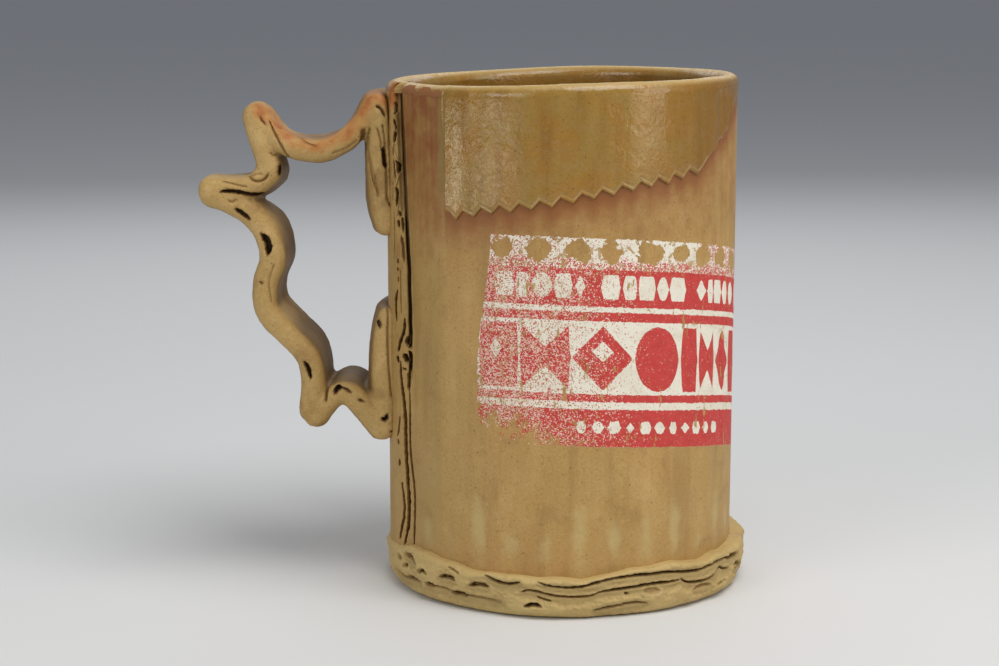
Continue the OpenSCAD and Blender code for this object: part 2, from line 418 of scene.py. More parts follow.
# %% [markdown]
# ## The camera, the light and the floor
# The camera stands half a metre off and a little above the rim. One large soft
# light hangs up and to the right, and dimmer ones fill in from the left, the
# right and the back. Three low cards give the glaze something bright to mirror.
# %% Camera
camera_data = bpy.data.cameras.new("camera")
camera_data.lens, camera_data.sensor_width = 78.38, 36
camera = show("camera", camera_data)
camera.location = (0, -0.5546, 0.1611)
camera.rotation_euler = (math.radians(90 - 10.04), 0, math.radians(1.72))
bpy.context.scene.camera = camera
bpy.context.scene.view_settings.view_transform = "Standard"


# %% Lights, floor and sky
def softbox(name, place_at, aim, size, power, tint=(1, 1, 1)):
    light = bpy.data.lights.new(name, "AREA")
    light.shape, light.size, light.size_y = "RECTANGLE", *size
    light.energy, light.color = power, tint
    lamp = show(name, light)
    lamp.location = place_at
    lamp.rotation_euler = (Vector(aim) - Vector(place_at)).to_track_quat("-Z", "Y").to_euler()


middle = (0, 0, 0.07)
softbox("key_light", (0.25, -0.28, 0.85), middle, (0.6, 0.6), 5.2, (1.0, 0.98, 0.95))
softbox("fill_light", (-0.7, -0.75, 0.55), middle, (0.5, 0.5), 2.15)
softbox("side_light", (0.75, -0.35, 0.45), middle, (0.35, 0.5), 1.2)
softbox("back_light", (-0.1, 0.7, 0.5), middle, (0.9, 0.3), 1.3)

CARD_AWAY = 0.45
WARM = (1.0, 0.9, 0.7)


def card(name, degrees, span, bottom, top, glow):
    """A low bright card for the glaze to mirror, that many degrees wide round the mug."""
    x, y = (CARD_AWAY * f(math.radians(degrees)) for f in (math.cos, math.sin))
    wide, tall = CARD_AWAY * math.radians(span), top - bottom
    mid = (bottom + top) / 2
    softbox(name, (x, y, mid), (0, 0, mid), (wide, tall), glow * math.pi * wide * tall, WARM)


card("left_card", 225, 26, 0.035, 0.1, 2.2)
card("far_left_card", 196.7, 13, 0.02, 0.09, 3.4)
card("right_card", 320, 22, 0.078, 0.2, 2.5)

world = bpy.data.worlds.new("sky")
bpy.context.scene.world = world
world.use_nodes = True
sky = world.node_tree.nodes["Background"].inputs
sky["Color"].default_value = (0.86, 0.9, 1.0, 1)
sky["Strength"].default_value = 0.23

bm = bmesh.new()
bmesh.ops.create_grid(bm, x_segments=2, y_segments=2, size=40)
floor = show("studio_floor", to_mesh(bm, "studio_floor"))
paper = Finish("pale_paper")
floor.data.materials.append(paper.set(Base_Color=(0.74, 0.75, 0.75), Roughness=0.8))

# %% [markdown]
# ## The wall
# The body is a slab of clay wrapped into a tube. A lathe profile could make it,
# so a line of vertices down the outside, over the rim and down the inside is
# spun once round. The slab was rolled on corrugated card, which left soft
# flutes, and its outer end overlaps the inner one on the handle's side.
# %% Profile and spin
def line_to(start, end, step):
    count = max(1, round(math.dist(start, end) / step))
    return [tuple(np.add(start, np.subtract(end, start) * i / count)) for i in range(count)]


lip = [(WALL_R - LIP_R + LIP_R * math.cos(a), LIP_Z + LIP_R * math.sin(a))
       for a in np.linspace(0, math.pi, 13)]
inner_r = WALL_R - WALL
FOOT_EDGE = 1.2                     # the turned edge under the foot
profile = (line_to((0, 0), (WALL_R - FOOT_EDGE, 0), 6)
           + [(WALL_R - FOOT_EDGE, 0), (WALL_R - 0.4, 0.4)]
           + line_to((WALL_R, FOOT_EDGE), (WALL_R, LIP_Z), 0.9) + lip
           + line_to((inner_r, LIP_Z), (inner_r, FLOOR), 12)[1:]
           + line_to((inner_r, FLOOR), (0, FLOOR), 13) + [(0, FLOOR)])
SPIN_STEPS = 360

bm = bmesh.new()
verts = [bm.verts.new((r, 0, z)) for r, z in profile]
edges = [bm.edges.new(pair) for pair in zip(verts, verts[1:])]
bmesh.ops.spin(bm, geom=verts + edges, cent=(0, 0, 0), axis=(0, 0, 1), angle=FULL_TURN,
               steps=SPIN_STEPS, use_merge=True)
bmesh.ops.remove_doubles(bm, verts=bm.verts, dist=0.001)
print("spun wall:", len(bm.verts), "vertices")


# %% [markdown]
# The flutes, the overlap and the lean of the rim are the same for everything
# that lies on the wall, so one function says how far out the wall is at an
# angle and a height. The overlap is a circle set off centre, as in the solid.
# %% Where the wall really is
shift = SEAM_STEP / (1 - math.cos(math.radians(WRAP)))
wrap_r = WALL_R - shift * math.cos(math.radians(WRAP))


def overlap_r(angle):
    """Radius of the slab's outer end at an angle."""
    a = np.radians(np.asarray(angle) - SEAM)
    return shift * np.cos(a) + np.sqrt(wrap_r**2 - (shift * np.sin(a)) ** 2)


FLUTES = 32
# The angle, depth and width of three grooves.
RIBS = [(329.5, 0.35, 1.3), (334.5, 0.5, 1.1), (339.0, 0.42, 1.0)]
# The height and angle of points along the open crack.
CRACK = [(50, 208.8), (60, 208.6), (71, 208.5), (77, 208.2), (85, 207.5), (91, 206.7),
         (97, 205.9), (104, 204.8), (112, 203.9), (119, 202.9), (124, 201.9), (129, 201.0)]


def crack_at(z):
    return np.interp(z, *zip(*CRACK))


def wall_radius(angle, z):
    """How far out the wall's face is, with its overlap, its flutes and its grooves."""
    angle = np.asarray(angle) % 360
    z = np.asarray(z, float)
    out = np.full(angle.shape, WALL_R)
    under = (angle > SEAM - WRAP) & (angle < np.minimum(SEAM, crack_at(z) + 1))
    out = np.where(under, overlap_r(angle), out)
    wave = np.cos(np.radians(FLUTES * angle)) + 0.35 * np.cos(np.radians(13 * angle + 40))
    out = out + 0.09 * wave * fade(z, 10, 25) * (1 - 0.7 * fade(z, 96, 102))
    for at, deep, wide in RIBS:
        groove = bell((angle - at) * DEGREE, wide)
        out = out - deep * groove * fade(z, 20, 75) * (1 - fade(z, 124, 128))
    out = out + 0.12 * np.sin(np.radians(2 * angle + 30)) * fade(z, 20, 110)
    return out


def rim_lean(x, z):
    """The rim is a little higher away from the handle, and waves slightly."""
    return (0.022 * x + 0.18 * np.sin(x * 0.11 + 1)) * fade(z, 95, HEIGHT)


# %% Shape the wall
SUNK = 2.6
co = np.array([v.co for v in bm.verts])
radius = np.hypot(co[:, 0], co[:, 1])
angle = np.degrees(np.arctan2(co[:, 1], co[:, 0])) % 360
outer = fade(radius, WALL_R - WALL * 0.9, WALL_R - 0.1) * (co[:, 2] > 1)
past_crack = angle - crack_at(co[:, 2])
# Under the seam's own sheet, made later, the wall is sunk out of its way.
buried = fade(angle, 187, 190) * (1 - fade(past_crack, 1.3, 2.6))
wanted = wall_radius(angle, co[:, 2]) - SUNK * buried
grown = radius + (wanted - WALL_R) * outer
scale = grown / np.maximum(radius, 1e-6)
co[:, 0] *= scale
co[:, 1] *= scale
co[:, 2] += rim_lean(co[:, 0], co[:, 2])
place(bm, co)

# %% [markdown]
# The wall's colours change with the kiln: rust beside the seam, a brown halo
# under the glazed strip, a little green at the strip's left end, and pale tears
# at the foot of the flutes. Each is worked out at the vertices, and noise in
# the finish breaks up its edge.
# %% The toothed edge of the glazed strip
TIPS = [(233.5, 96.5), (240.4, 97.5), (246.8, 98.5), (253.1, 99.1), (259.8, 99.9),
        (266.2, 100.5), (272.8, 101.5), (279.2, 102.4), (285.5, 103.2), (291.9, 104.1),
        (298.1, 104.8), (304.4, 105.3), (310.3, 106.2), (317.0, 106.9)]
TOOTH_H = 1.9
strip_edge = [(228.0, 98.3), (230.1, 98.3)]
for (a0, z0), (a1, z1) in zip(TIPS, TIPS[1:]):
    strip_edge += [(a0, z0), (a0 + 0.4 * (a1 - a0), z0 + 0.4 * (z1 - z0) + TOOTH_H)]
strip_edge += [TIPS[-1], (318.5, 107.8), (321.0, 109.6), (323.8, 111.3), (327.0, 112.6),
               (330.1, 114.4), (334.0, 115.3), (338.6, 117.3), (340.7, 119.7), (345.0, 121.5),
               (352.0, 126.0), (358.0, 127.5)]
strip_edge = np.array(strip_edge)
STRIP_LEFT = [(127.6, 227.2), (120.5, 228.5), (110.9, 229.0), (97.9, 229.3)]


def strip_bottom(a):
    return np.interp(a, strip_edge[:, 0], strip_edge[:, 1])


# %% Stored values for the wall
up = co[:, 2]
below_strip = strip_bottom(angle) - up
halo = np.where(below_strip > -2, np.exp(-np.clip(below_strip, 0, 60) / 7.5), 0.6)
blush = 0.38 * fade(up, 78, 100) * (angle > 215) * (1 - fade(angle, 345, 359))
halo = np.maximum(halo * (angle > 228) * (angle < 358), blush)


def panel_at(a, z):
    """The brown panel between the crack and the strip, strongest at the rim."""
    return fade(a, 198, 200) * (1 - fade(a, 224, 231)) * (0.1 + 0.9 * fade(z, 64, 124))


green_strip = fade(angle, 206, 211) * (1 - fade(angle, 225, 229)) * (1 - fade(up, 70, 95))
bleed = bell(angle - 227.6, 1.5) * fade(up, 98, 106)
bleed = np.maximum(bleed, 0.3 * green_strip)    # the ash's green shows beside the seam too
foot_glow = 0.35 * (1 - fade(up, 11, 26)) * (0.5 + 0.5 * np.cos(np.radians(FLUTES * angle)))
flute = angle * FLUTES / 360
tear_at = np.floor(flute)                       # one flute's hollow for each tear
tear_tall = np.random.default_rng(3).uniform(2.5, 9, FLUTES)[tear_at.astype(int)]
tears = (bell(flute - tear_at - 0.5, 1 / 3.4)
         * bell(up - 13 - tear_tall, tear_tall * 0.8 + 1.5) * (0.45 + tear_tall / 12))
# The wall sunk under the seam's sheet, in the crack, is darkened with painted shade.
wall_values = {"halo": halo, "panel": panel_at(angle, up), "tears": tears, "glow": foot_glow,
               "bleed": bleed, "dark": buried * (up < LIP_Z - 1) * 0.8}
print("halo reaches", int((halo > 0.3).sum()), "vertices")

# %% [markdown]
# ## The worn print
# The print on the real mug carries words, which this part leaves out. It keeps
# the fields of red and white, with plain blocks, discs and diamonds in their
# place. It is laid out in millimetres on its own UV map: u runs along the wall
# and v up it, and v bends as the print does on the curved slab.
# %% Layout of the print
PRINT_ANGLE = 244.0


def print_map(a, z):
    s = (np.asarray(a) - PRINT_ANGLE) * math.radians(1) * WALL_R
    return s, z - (0.022 * s - 0.00147 * s * s)


uv = bm.loops.layers.uv.new("print_mm")
bm.verts.index_update()
turned = np.where(angle < 65, angle + 360, angle)
for face in bm.faces:
    around = [turned[loop.vert.index] for loop in face.loops]
    if max(around) - min(around) > 180:     # the column where the map starts and ends
        around = [min(around)] * len(around)
    for loop, a in zip(face.loops, around):
        loop[uv].uv = print_map(a, loop.vert.co.z)

PRINT_START, PRINT_END = -3.0, 91.0
PRINT_TOP, PRINT_BOTTOM = 93.8, 43.2
RED_FIELDS = [(86.4, 77.4), (76.1, 73.9), (56.1, 54.2), (52.4, PRINT_BOTTOM)]  # the rest is white
# Bold shapes in the widest field: centre, half width and kind.
BOLD = [(3.6, 4.9, "block"), (15.2, 5.9, "bow"), (29.2, 7.6, "diamond"),
        (43.8, 6.3, "disc"), (54.0, 2.7, "block"), (61.2, 3.3, "bow"),
        (69.8, 4.2, "diamond"), (79.6, 4.4, "block"), (87.4, 2.6, "diamond")]
INNER = [(3.0, 1.5, "diamond"), (29.2, 2.6, "diamond")]     # white shapes inside two of them
BOLD_MID, BOLD_HALF = 64.9, 7.9


# %% A row of plain shapes as one curve
def shape_height(u, shapes):
    """Half the height of a row of shapes at u, as a share of the tallest."""
    tall = 0.0
    for mid, half, kind in shapes:
        x = abs(u - mid) / half
        if x < 1:
            tall = max(tall, {"block": min(1.0, (1.02 - x) * half / 0.7 + 0.84),
                              "disc": math.sqrt(1 - x * x),
                              "diamond": 1 - x, "bow": 0.3 + 0.7 * x}[kind])
    return tall


SMALL = []
u_at, turn = 3.0, 0
while u_at < 88:
    wide = (2.1, 1.5, 2.4, 1.9, 1.2, 2.2, 1.6)[turn % 7]
    kind = ("block", "block", "disc", "block", "diamond", "block")[turn % 6]
    SMALL.append((u_at + wide, wide, kind))
    u_at += 2 * wide + (0.9 if turn % 5 != 4 else 4.2)
    turn += 1
TINY = [(24.0 + 4.1 * i, 1.35 if i % 3 else 1.0, ("block", "disc", "block", "diamond")[i % 4])
        for i in range(11)]
TORN = [(mid, half, "disc") for mid, half in [
    (4.6, 2.6), (13.4, 3.1), (23.2, 3.4), (31.4, 2.8), (41.4, 3.8),
    (50.6, 2.6), (58.8, 3.0), (67.6, 2.8), (76.8, 3.2), (85.6, 2.4)]]
print(len(SMALL), "small shapes,", len(TINY), "tiny ones and", len(TORN), "torn places")


# %% [markdown]
# The layers of the print are added and taken away with noise, as real wear
# does: speckled thin ink at the left, blobs torn out of the top field, flakes
# down the flutes, and a corner rubbed off. A curve node holds each row's
# outline.
# %% The wall's finish
PRINT_LONG = PRINT_END - PRINT_START
CURVE_STEPS = 240


def row_of(f, u, v, shapes, mid, full, ragged):
    """A mask for one row of shapes, from a curve of their heights."""
    node = f.add("ShaderNodeFloatCurve")
    curve = node.mapping.curves[0]
    heights = [shape_height(PRINT_START + PRINT_LONG * i / CURVE_STEPS, shapes)
               for i in range(CURVE_STEPS + 1)]
    curve.points[0].location = (0, heights[0])
    curve.points[1].location = (1, heights[-1])
    for i, (a, b, c) in enumerate(zip(heights, heights[1:], heights[2:]), 1):
        if abs(a - 2 * b + c) > 1e-3:           # a straight stretch needs no points
            curve.points.new(i / CURVE_STEPS, b)
    for point in curve.points:
        point.handle_type = "VECTOR"
    node.mapping.update()
    f.put(node.inputs["Value"], f.math("DIVIDE", f.plus(u, -PRINT_START), PRINT_LONG))
    tall = f.plus(f.times(node.outputs[0], full), ragged)
    off = f.math("ABSOLUTE", f.plus(v, -mid))
    return f.times(f.step(f.less(tall, off), -0.06, 0.06), f.step(node.outputs[0], 0.02, 0.06))


def field(f, v, top, bottom, ragged):
    """A mask for one field, from its top to its bottom."""
    edge = f.plus(v, ragged)
    return f.times(f.step(edge, bottom - 0.08, bottom + 0.08),
                   f.step(edge, top + 0.08, top - 0.08))


def wall_finish():
    f, colour, height, grain = clay("stoneware_wall", WALL_CLAY, 0.35)
    colour, streak, breakup = kiln_marks(f, colour)
    tears = f.plus(f.stored("tears"), f.times(breakup, 1.3))
    colour = f.tint(colour, rgb(194, 174, 118), tears, 0.3, 1.05, 0.55)
    halo = f.plus(f.stored("halo"), f.times(breakup, 0.55))
    colour = f.tint(colour, rgb(138, 80, 39), halo, 0.05, 0.9, 0.88)
    colour = f.mark(colour, rgb(134, 118, 66), "bleed", 0.75)
    colour = f.mark(colour, rgb(170, 118, 64), "glow", 0.6)

    uv_node = f.add("ShaderNodeUVMap", uv_map="print_mm")
    u, v, _ = f.add("ShaderNodeSeparateXYZ", {0: uv_node.outputs[0]}).outputs
    flat = f.add("ShaderNodeCombineXYZ", {0: u, 1: v}).outputs[0]

    def texture(size, detail=4.0, rough=0.6, stretch=None):
        coords = f.stretched(*stretch, 1, flat) if stretch else flat
        return f.noise(size, detail, rough, coords, unit=1)

    def swing(reach, *noise):
        return f.swing(texture(*noise), reach)

    fine = texture(0.42, 2)
    ragged = f.plus(swing(0.9, 1.3), f.swing(fine, 0.35))
    shapes = [(BOLD, BOLD_MID, BOLD_HALF), (SMALL, 82.2, 2.9), (TINY, 48.0, 1.5),
              (INNER, 66.5, 2.6)]
    bold, *pale_rows = [row_of(f, u, v, *row, ragged) for row in shapes]
    red = f.most(*[field(f, v, *ends, ragged) for ends in RED_FIELDS], bold)
    red = f.times(red, f.less(1.0, f.most(*pale_rows)))

    slant = f.plus(f.step(v, 60, 95, -2.2, 1.5), f.step(v, 53, 43, 0, 1.3))
    from_left = f.less(f.plus(u, f.times(ragged, 0.6)), slant)
    inside = f.times(f.step(from_left, 0.0, 0.2),
                     f.step(f.plus(u, ragged), PRINT_END, PRINT_END - 0.3))
    inside = f.times(inside, field(f, v, PRINT_TOP, PRINT_BOTTOM, f.times(ragged, 1.4)))

    # Thin speckled ink: most at the left, and all along the foot of the torn top field.
    patchy = f.swing(texture(6, 3))
    left_wear = f.step(f.plus(u, f.times(patchy, 22)), 46, 2)
    cells = f.add("ShaderNodeTexVoronoi", {"Vector": flat, "Scale": 3.9}).outputs["Color"]
    dots = f.add("ShaderNodeSeparateColor", {0: cells}).outputs     # an even number for each grain

    def grains(channel, density):
        return f.step(f.less(dots[channel], density), 0.04, -0.04)

    speckle = grains(0, f.times(left_wear, f.plus(0.42, f.times(patchy, 1.6))))
    dust = f.times(f.step(f.plus(v, f.times(patchy, 7)), 90.5, 86.8), f.step(v, 85, 86.5, 0, 0.62))
    right_dust = f.times(f.step(f.plus(u, f.times(patchy, 16)), 52, 66),
                         f.step(v, 85, 87, 0, 0.45))
    dusted = grains(1, f.most(dust, right_dust))
    # Flakes: lost altogether, showing the clay.
    torn = swing(9, 3.2, 5, 0.65)
    corner = f.plus(f.plus(f.step(u, 34, 0), f.step(v, 57, 43)), swing(1.7, 3.5, 4, 0.65))
    rub = f.times(f.swing(texture(2.2, 4)), f.step(v, 80, 60, 1.2, 7))
    flute_line = f.step(texture(1.7, 4, 0.7, (1, 0.2)), 0.57, 0.62)
    flake_share = f.plus(texture(8, 2), f.times(left_wear, 0.06))
    lost = f.most(
        f.times(f.step(v, 86.2, 87.4), row_of(f, u, v, TORN, 90.9, 2.5, torn)),
        f.times(f.step(v, 83.0, 90.5, 0, 0.85), f.step(texture(2.1, 3), 0.56, 0.6)),
        f.step(corner, 1.75, 1.8),
        grains(2, f.step(corner, 1.05, 1.8, 0, 0.75)),
        f.step(f.plus(from_left, rub), 0.35, 0.0),
        f.times(f.most(flute_line, f.step(texture(1.5, 3), 0.64, 0.68)),
                f.step(flake_share, 0.52, 0.58)),
        grains(2, f.times(left_wear, f.plus(0.1, f.times(patchy, 0.9)))))
    inside = f.times(inside, f.less(1.0, f.math("MINIMUM", lost, 1.0)))

    white = f.tint(rgb(238, 232, 216), rgb(214, 204, 178), texture(7, 3, 0.6, (0.4, 1)),
                   0.45, 0.72, 0.6)
    white = f.tint(white, rgb(204, 176, 150), texture(0.8, 3), 0.58, 0.7, 0.4)
    white = f.mix(f.most(dusted, grains(1, f.times(left_wear, 0.2))), white, rgb(202, 92, 86))
    ink = f.tint(rgb(204, 66, 62), rgb(186, 56, 52), texture(2.5, 4), 0.4, 0.65, 0.6)
    ink = f.tint(ink, rgb(220, 130, 118), fine, 0.6, 0.75, 0.25)
    ink = f.mix(speckle, ink, rgb(230, 196, 182))
    colour = f.mix(inside, colour, f.mix(red, white, ink))

    height = f.plus(height, f.times(inside, 0.6))
    dullness = f.step(f.plus(grain, streak), 0.7, 1.3, 0.46, 0.62)
    return f.set(Base_Color=shaded(f, colour), Roughness=f.plus(dullness, f.times(inside, 0.1)),
                 Specular_IOR_Level=0.36, Normal=f.relief(height, 0.5, 0.16))


finish(bm, "mug_wall", wall_values, wall_finish())

# %% [markdown]
# ## The glaze
# Inside and over the rim lies a runny amber ash glaze, which also covers the
# strip that looks like packing tape. It is glossy, with a soft ripple and fine
# pits, darker where it is thick and paler on the rim, where it runs thin.
# %% The glaze finish
AMBER = rgb(157, 114, 44)
AMBER_DEEP = rgb(128, 88, 32)
AMBER_PALE = rgb(202, 172, 110)


def glaze(name, gloss):
    f = Finish(name)
    runs = f.noise(3.5, 3, 0.5, f.stretched(1, 1, 0.15))
    mottle = f.noise(0.6, 3, 0.65)
    colour = f.tint(AMBER, rgb(152, 120, 54), f.noise(8, 4, 0.55), 0.35, 0.65)
    colour = f.tint(colour, rgb(170, 132, 66), runs, 0.5, 0.72, 0.35)
    colour = f.tint(colour, AMBER_DEEP, runs, 0.5, 0.3, 0.45)
    colour = f.tint(colour, AMBER_DEEP, mottle, 0.46, 0.3, 0.5)
    colour = f.tint(colour, rgb(176, 138, 72), mottle, 0.56, 0.72, 0.4)
    colour = f.specked(colour, 2.4, 0.1, 0.6)
    colour = f.mark(colour, AMBER_DEEP, "thick", 0.7)
    colour = f.tint(colour, AMBER_PALE, f.stored("thin"), 0.2, 1.0, 0.8)
    colour = f.tint(colour, rgb(112, 64, 28), f.stored("rim_dark"), 0.1, 1.0, 0.6)
    missing = f.plus(f.stored("bare"), f.swing(f.noise(1.5, 3), 0.5))
    missing = f.step(missing, 0.3, 0.6)         # where the glaze has left the lip bare
    colour = f.mix(f.times(missing, 0.95), colour, rgb(140, 88, 46))
    ripple = f.plus(f.step(f.noise(4.5, 1, 0.4), 0.42, 0.58),
                    f.times(f.step(f.noise(2.0, 1, 0.4), 0.4, 0.6), 0.16))
    pits = f.step(f.noise(0.9, 3, 0.6), 0.3, 0.6)
    normal = f.relief(pits, 0.3, 0.08, f.relief(ripple, 0.12, 0.35))
    dullness = f.plus(f.step(f.noise(2.2, 4, 0.65), 0.45, 0.62, gloss, gloss + 0.2),
                      f.times(f.stored("thin"), 0.34))
    return f.set(Base_Color=colour, Roughness=f.plus(dullness, f.times(missing, 0.55)),
                 Specular_IOR_Level=0.62, Normal=normal)


liner_glaze = glaze("amber_glaze", 0.12)
tape_glaze = glaze("tape_glaze", 0.06)

# %% [markdown]
# ## The glazed lining
# The lining is a sheet bent to follow the inside of the cup from the floor up,
# over the rim and a little way down the outside, where its edge runs and
# scallops. Its floor closes at the middle.
# %% Lining
GLAZE_T = 0.25                      # how thick the glaze lies


def lip_radius(a, z):
    """The wall's radius at the rim, with the cut face and the gap at the seam."""
    a = np.asarray(a) % 360
    at_seam = np.interp(a, [196, 198.4, 199.4, 200.0, 200.5, 201.5, 202.0, 202.8],
                        [45.3, 45.0, 44.5, 43.9, 42.2, 42.2, 43.3, 43.5])
    return np.select([(a > 196) & (a < 202.8), (a >= 202.8) & (a < 206)],
                     [at_seam, WALL_R], wall_radius(a, z))


def lap_depth(a):
    """How far the glaze comes down outside the rim at an angle."""
    a = np.asarray(a) % 360
    deep = 2.4 + 0.5 * np.sin(np.radians(5 * a)) + 0.4 * np.sin(np.radians(11 * a + 50))
    scallop = np.interp(a, [203, 205, 206.9, 212.2, 214.6, 217.9, 221.4, 222.9, 224.7, 227],
                        [0.6, 0.15, 0.05, 0.1, 0.9, 0.2, 0.15, 0.8, 0.15, 0.1])
    under_strip = (a > 227.5) & (a < 358)
    return np.select([(a > 196) & (a <= 203), under_strip, (a > 202.8) & (a < 227.5)],
                     [0.35, 0.1, scallop], deep)


ROUND, RISE = 300, 150
BEND = 4                            # the curve where the floor meets the wall
# Where the floor, the curve, the wall and the lip end, as shares of the sheet.
ON_FLOOR, ON_BEND, ON_WALL, ON_LIP = 0.16, 0.22, 0.78, 0.92
bm, column, row = sheet(ROUND, RISE)
turn = column / ROUND * 360
t = row / RISE
parts = [t <= ON_FLOOR, t <= ON_BEND, t <= ON_WALL, t <= ON_LIP]
bend_turn = (t - ON_FLOOR) / (ON_BEND - ON_FLOOR) * math.pi / 2
lip_turn = math.pi - (t - ON_WALL) / (ON_LIP - ON_WALL) * math.pi
rise = (t - ON_BEND) / (ON_WALL - ON_BEND)
share = (t - ON_LIP) / (1 - ON_LIP)     # the way down outside the rim
mid_r = (inner_r + lip_radius(turn, np.full(len(t), LIP_Z))) / 2
drop_z = LIP_Z - share * lap_depth(turn)
r = np.select(parts, [t / ON_FLOOR * (inner_r - BEND),
                      inner_r - BEND + (BEND - GLAZE_T) * np.sin(bend_turn),
                      inner_r - GLAZE_T,
                      mid_r + (mid_r - inner_r + GLAZE_T) * np.cos(lip_turn)],
              lip_radius(turn, drop_z) + GLAZE_T * (1 - share**3) - 0.12 * share**4)
z = np.select(parts, [FLOOR + GLAZE_T,
                      FLOOR + GLAZE_T + (BEND - GLAZE_T) * (1 - np.cos(bend_turn)),
                      FLOOR + BEND + rise * (LIP_Z - FLOOR - BEND),
                      LIP_Z + (LIP_R + GLAZE_T) * np.sin(lip_turn)], drop_z)
x, y = polar(r, turn)
points = np.stack([x, y, z + rim_lean(x, z)], 1)
in_cup = (t > ON_FLOOR) & parts[2]
push = 0.2 * lumps(points, 16, 3) * in_cup
points[:, :2] += np.stack(polar(push, turn), 1)
place(bm, points)
down = t > ON_LIP
on_lip = parts[3] & ~parts[2]
bare_from = np.interp(turn, [203, 206, 211, 214.6, 217, 220.5, 223, 225, 227],
                      [0.35, 1.0, 1.05, 0.25, 0.95, 0.95, 0.3, 0.85, 0.5])
over_lip = np.where(on_lip, lip_turn, 0)
lining_values = {
    "thin": np.where(on_lip, np.sin(lip_turn) ** 2, 0) + down * 0.7 * (1 - share),
    "rim_dark": down * fade(share, 0.7, 1.0) * 0.8,
    "thick": 0.75 * ((t > ON_BEND) & parts[2]) * fade(z, 60, 100),
    "bare": ((t > ON_WALL) * (turn > 202.6) * (turn < 227.6)
             * (1 - fade(over_lip, bare_from - 0.12, bare_from + 0.12)))}
finish(bm, "glaze_lining", lining_values, liner_glaze, merge=0.02)

# %% [markdown]
# ## The strip of tape
# A thin strip of clay, pinked along its lower edge like torn packing tape, was
# pressed on and glazed. It is a sheet laid on the wall and bent over the rim.
# Its lower rows follow the teeth, and its border turns down to the wall so that
# the strip has a real edge.
# %% Strip
TAPE_T = 0.75                       # how thick the strip is
STRIP_FROM, STRIP_TO = 228.4, 357.5
PINKED_TO = 322                     # the teeth end here, and the strip gets thinner
COLS, ROWS = 620, 110
bm, column, row = sheet(COLS, ROWS)
s, t = column / COLS, (row / ROWS) ** 1.35      # the rows are closer near the teeth
turn = STRIP_FROM + s * (STRIP_TO - STRIP_FROM)
bottom = strip_bottom(turn)
top = LIP_Z + math.pi * LIP_R * 0.62
height_at = bottom + (top - bottom) * t
left = np.interp(-height_at, [-z0 for z0, _ in STRIP_LEFT], [a0 for _, a0 in STRIP_LEFT])
turn = turn + (left - STRIP_FROM) * (1 - fade(turn, STRIP_FROM, 236))
over = np.clip((height_at - LIP_Z) / LIP_R, 0, math.pi)
flat_z = np.minimum(height_at, LIP_Z)
# The gap to the nearest edge shapes the border: it turns down, with a groove inside it.
edge_gap = np.minimum(height_at - bottom, (turn - turn.min()) * DEGREE)
edge_gap = np.minimum(edge_gap, (STRIP_TO - turn) * DEGREE)
lift = TAPE_T * np.sqrt(np.clip(edge_gap / 0.55, 0, 1)) - 0.25 * (edge_gap < 0.02)
groove = -0.16 * bell(edge_gap - 1.15, 0.3) * (turn < PINKED_TO)
puff = 0.015 * np.cos(np.radians(FLUTES * turn)) * fade(edge_gap, 1, 4)
flat_points = np.stack([turn * DEGREE, height_at, np.zeros(len(s))], 1)
uneven = rough(flat_points, (0.11, 7, 1), (0.02, 2.4, 2))
lift = lift + groove + puff + uneven * fade(edge_gap, 0.3, 1.5)
lift = lift * (1 - 0.7 * fade(t, 0.93, 1.0)) * (1 - 0.6 * fade(turn, PINKED_TO, 348))
r = wall_radius(turn, flat_z) - LIP_R * (1 - np.cos(over)) + lift * np.cos(over)
z = flat_z + LIP_R * np.sin(over) + lift * np.sin(over)
x, y = polar(r, turn)
place(bm, np.stack([x, y, z + rim_lean(x, z)], 1))
tape_values = {
    "thin": (0.5 * bell(height_at - bottom - 1.1, 0.45) * (turn < PINKED_TO)
             + 0.9 * fade(height_at, 127.0, 129.4)),
    "rim_dark": 0.9 * (1 - fade(edge_gap, 0.05, 0.45)),
    "thick": 0.8 * fade(turn, 292, 325) + 0.3 * (1 - fade(turn, 229, 233))}
finish(bm, "tape_strip", tape_values, tape_glaze)

# %% [markdown]
# ## The torn edge of the slab
# Where the wrapped slab ends, its cut edge faces the front: a liner, a wavy
# core with lens-shaped holes, a recess in painted brown shade and then a crack painted black with
# shade. A sheet
# follows the slab's outer face, turns over its corner, runs down the cut face,
# goes deep into the crack and comes up on the wall. A second line says where
# the sheet lies when the crack is shut, and each height is a mix of the two.
# %% Two lines across the seam
OPEN_LINE = np.array(
    [polar(overlap_r(a) + 0.05, a) for a in (184.5, 188, 192, 196, 198.6)]
    + [(-42.62, -14.9), (-42.35, -15.7), (-41.7, -16.4), (-41.0, -16.95), (-40.3, -17.35),
       (-40.02, -17.15), (-39.88, -15.6), (-39.72, -14.2), (-39.35, -13.6), (-38.98, -14.4),
       (-38.9, -16.2), (-38.85, -18.6), (-38.84, -19.3)]
    + [polar(43.6, 207.0), polar(43.6, 208.0), polar(43.1, 208.9)])
FIRST_DEEP, LAST_DEEP = 9, 18       # the points of the line between which the crack lies
CRACK_LINE_ANGLE = 205.2            # where this line has its crack, before it is turned
SHUT_LINE = OPEN_LINE.copy()
across_gap = np.linspace(0, 1, LAST_DEEP - FIRST_DEEP + 1)[:, None]
SHUT_LINE[FIRST_DEEP:LAST_DEEP + 1] = (
    OPEN_LINE[FIRST_DEEP] * (1 - across_gap) + OPEN_LINE[LAST_DEEP] * across_gap)

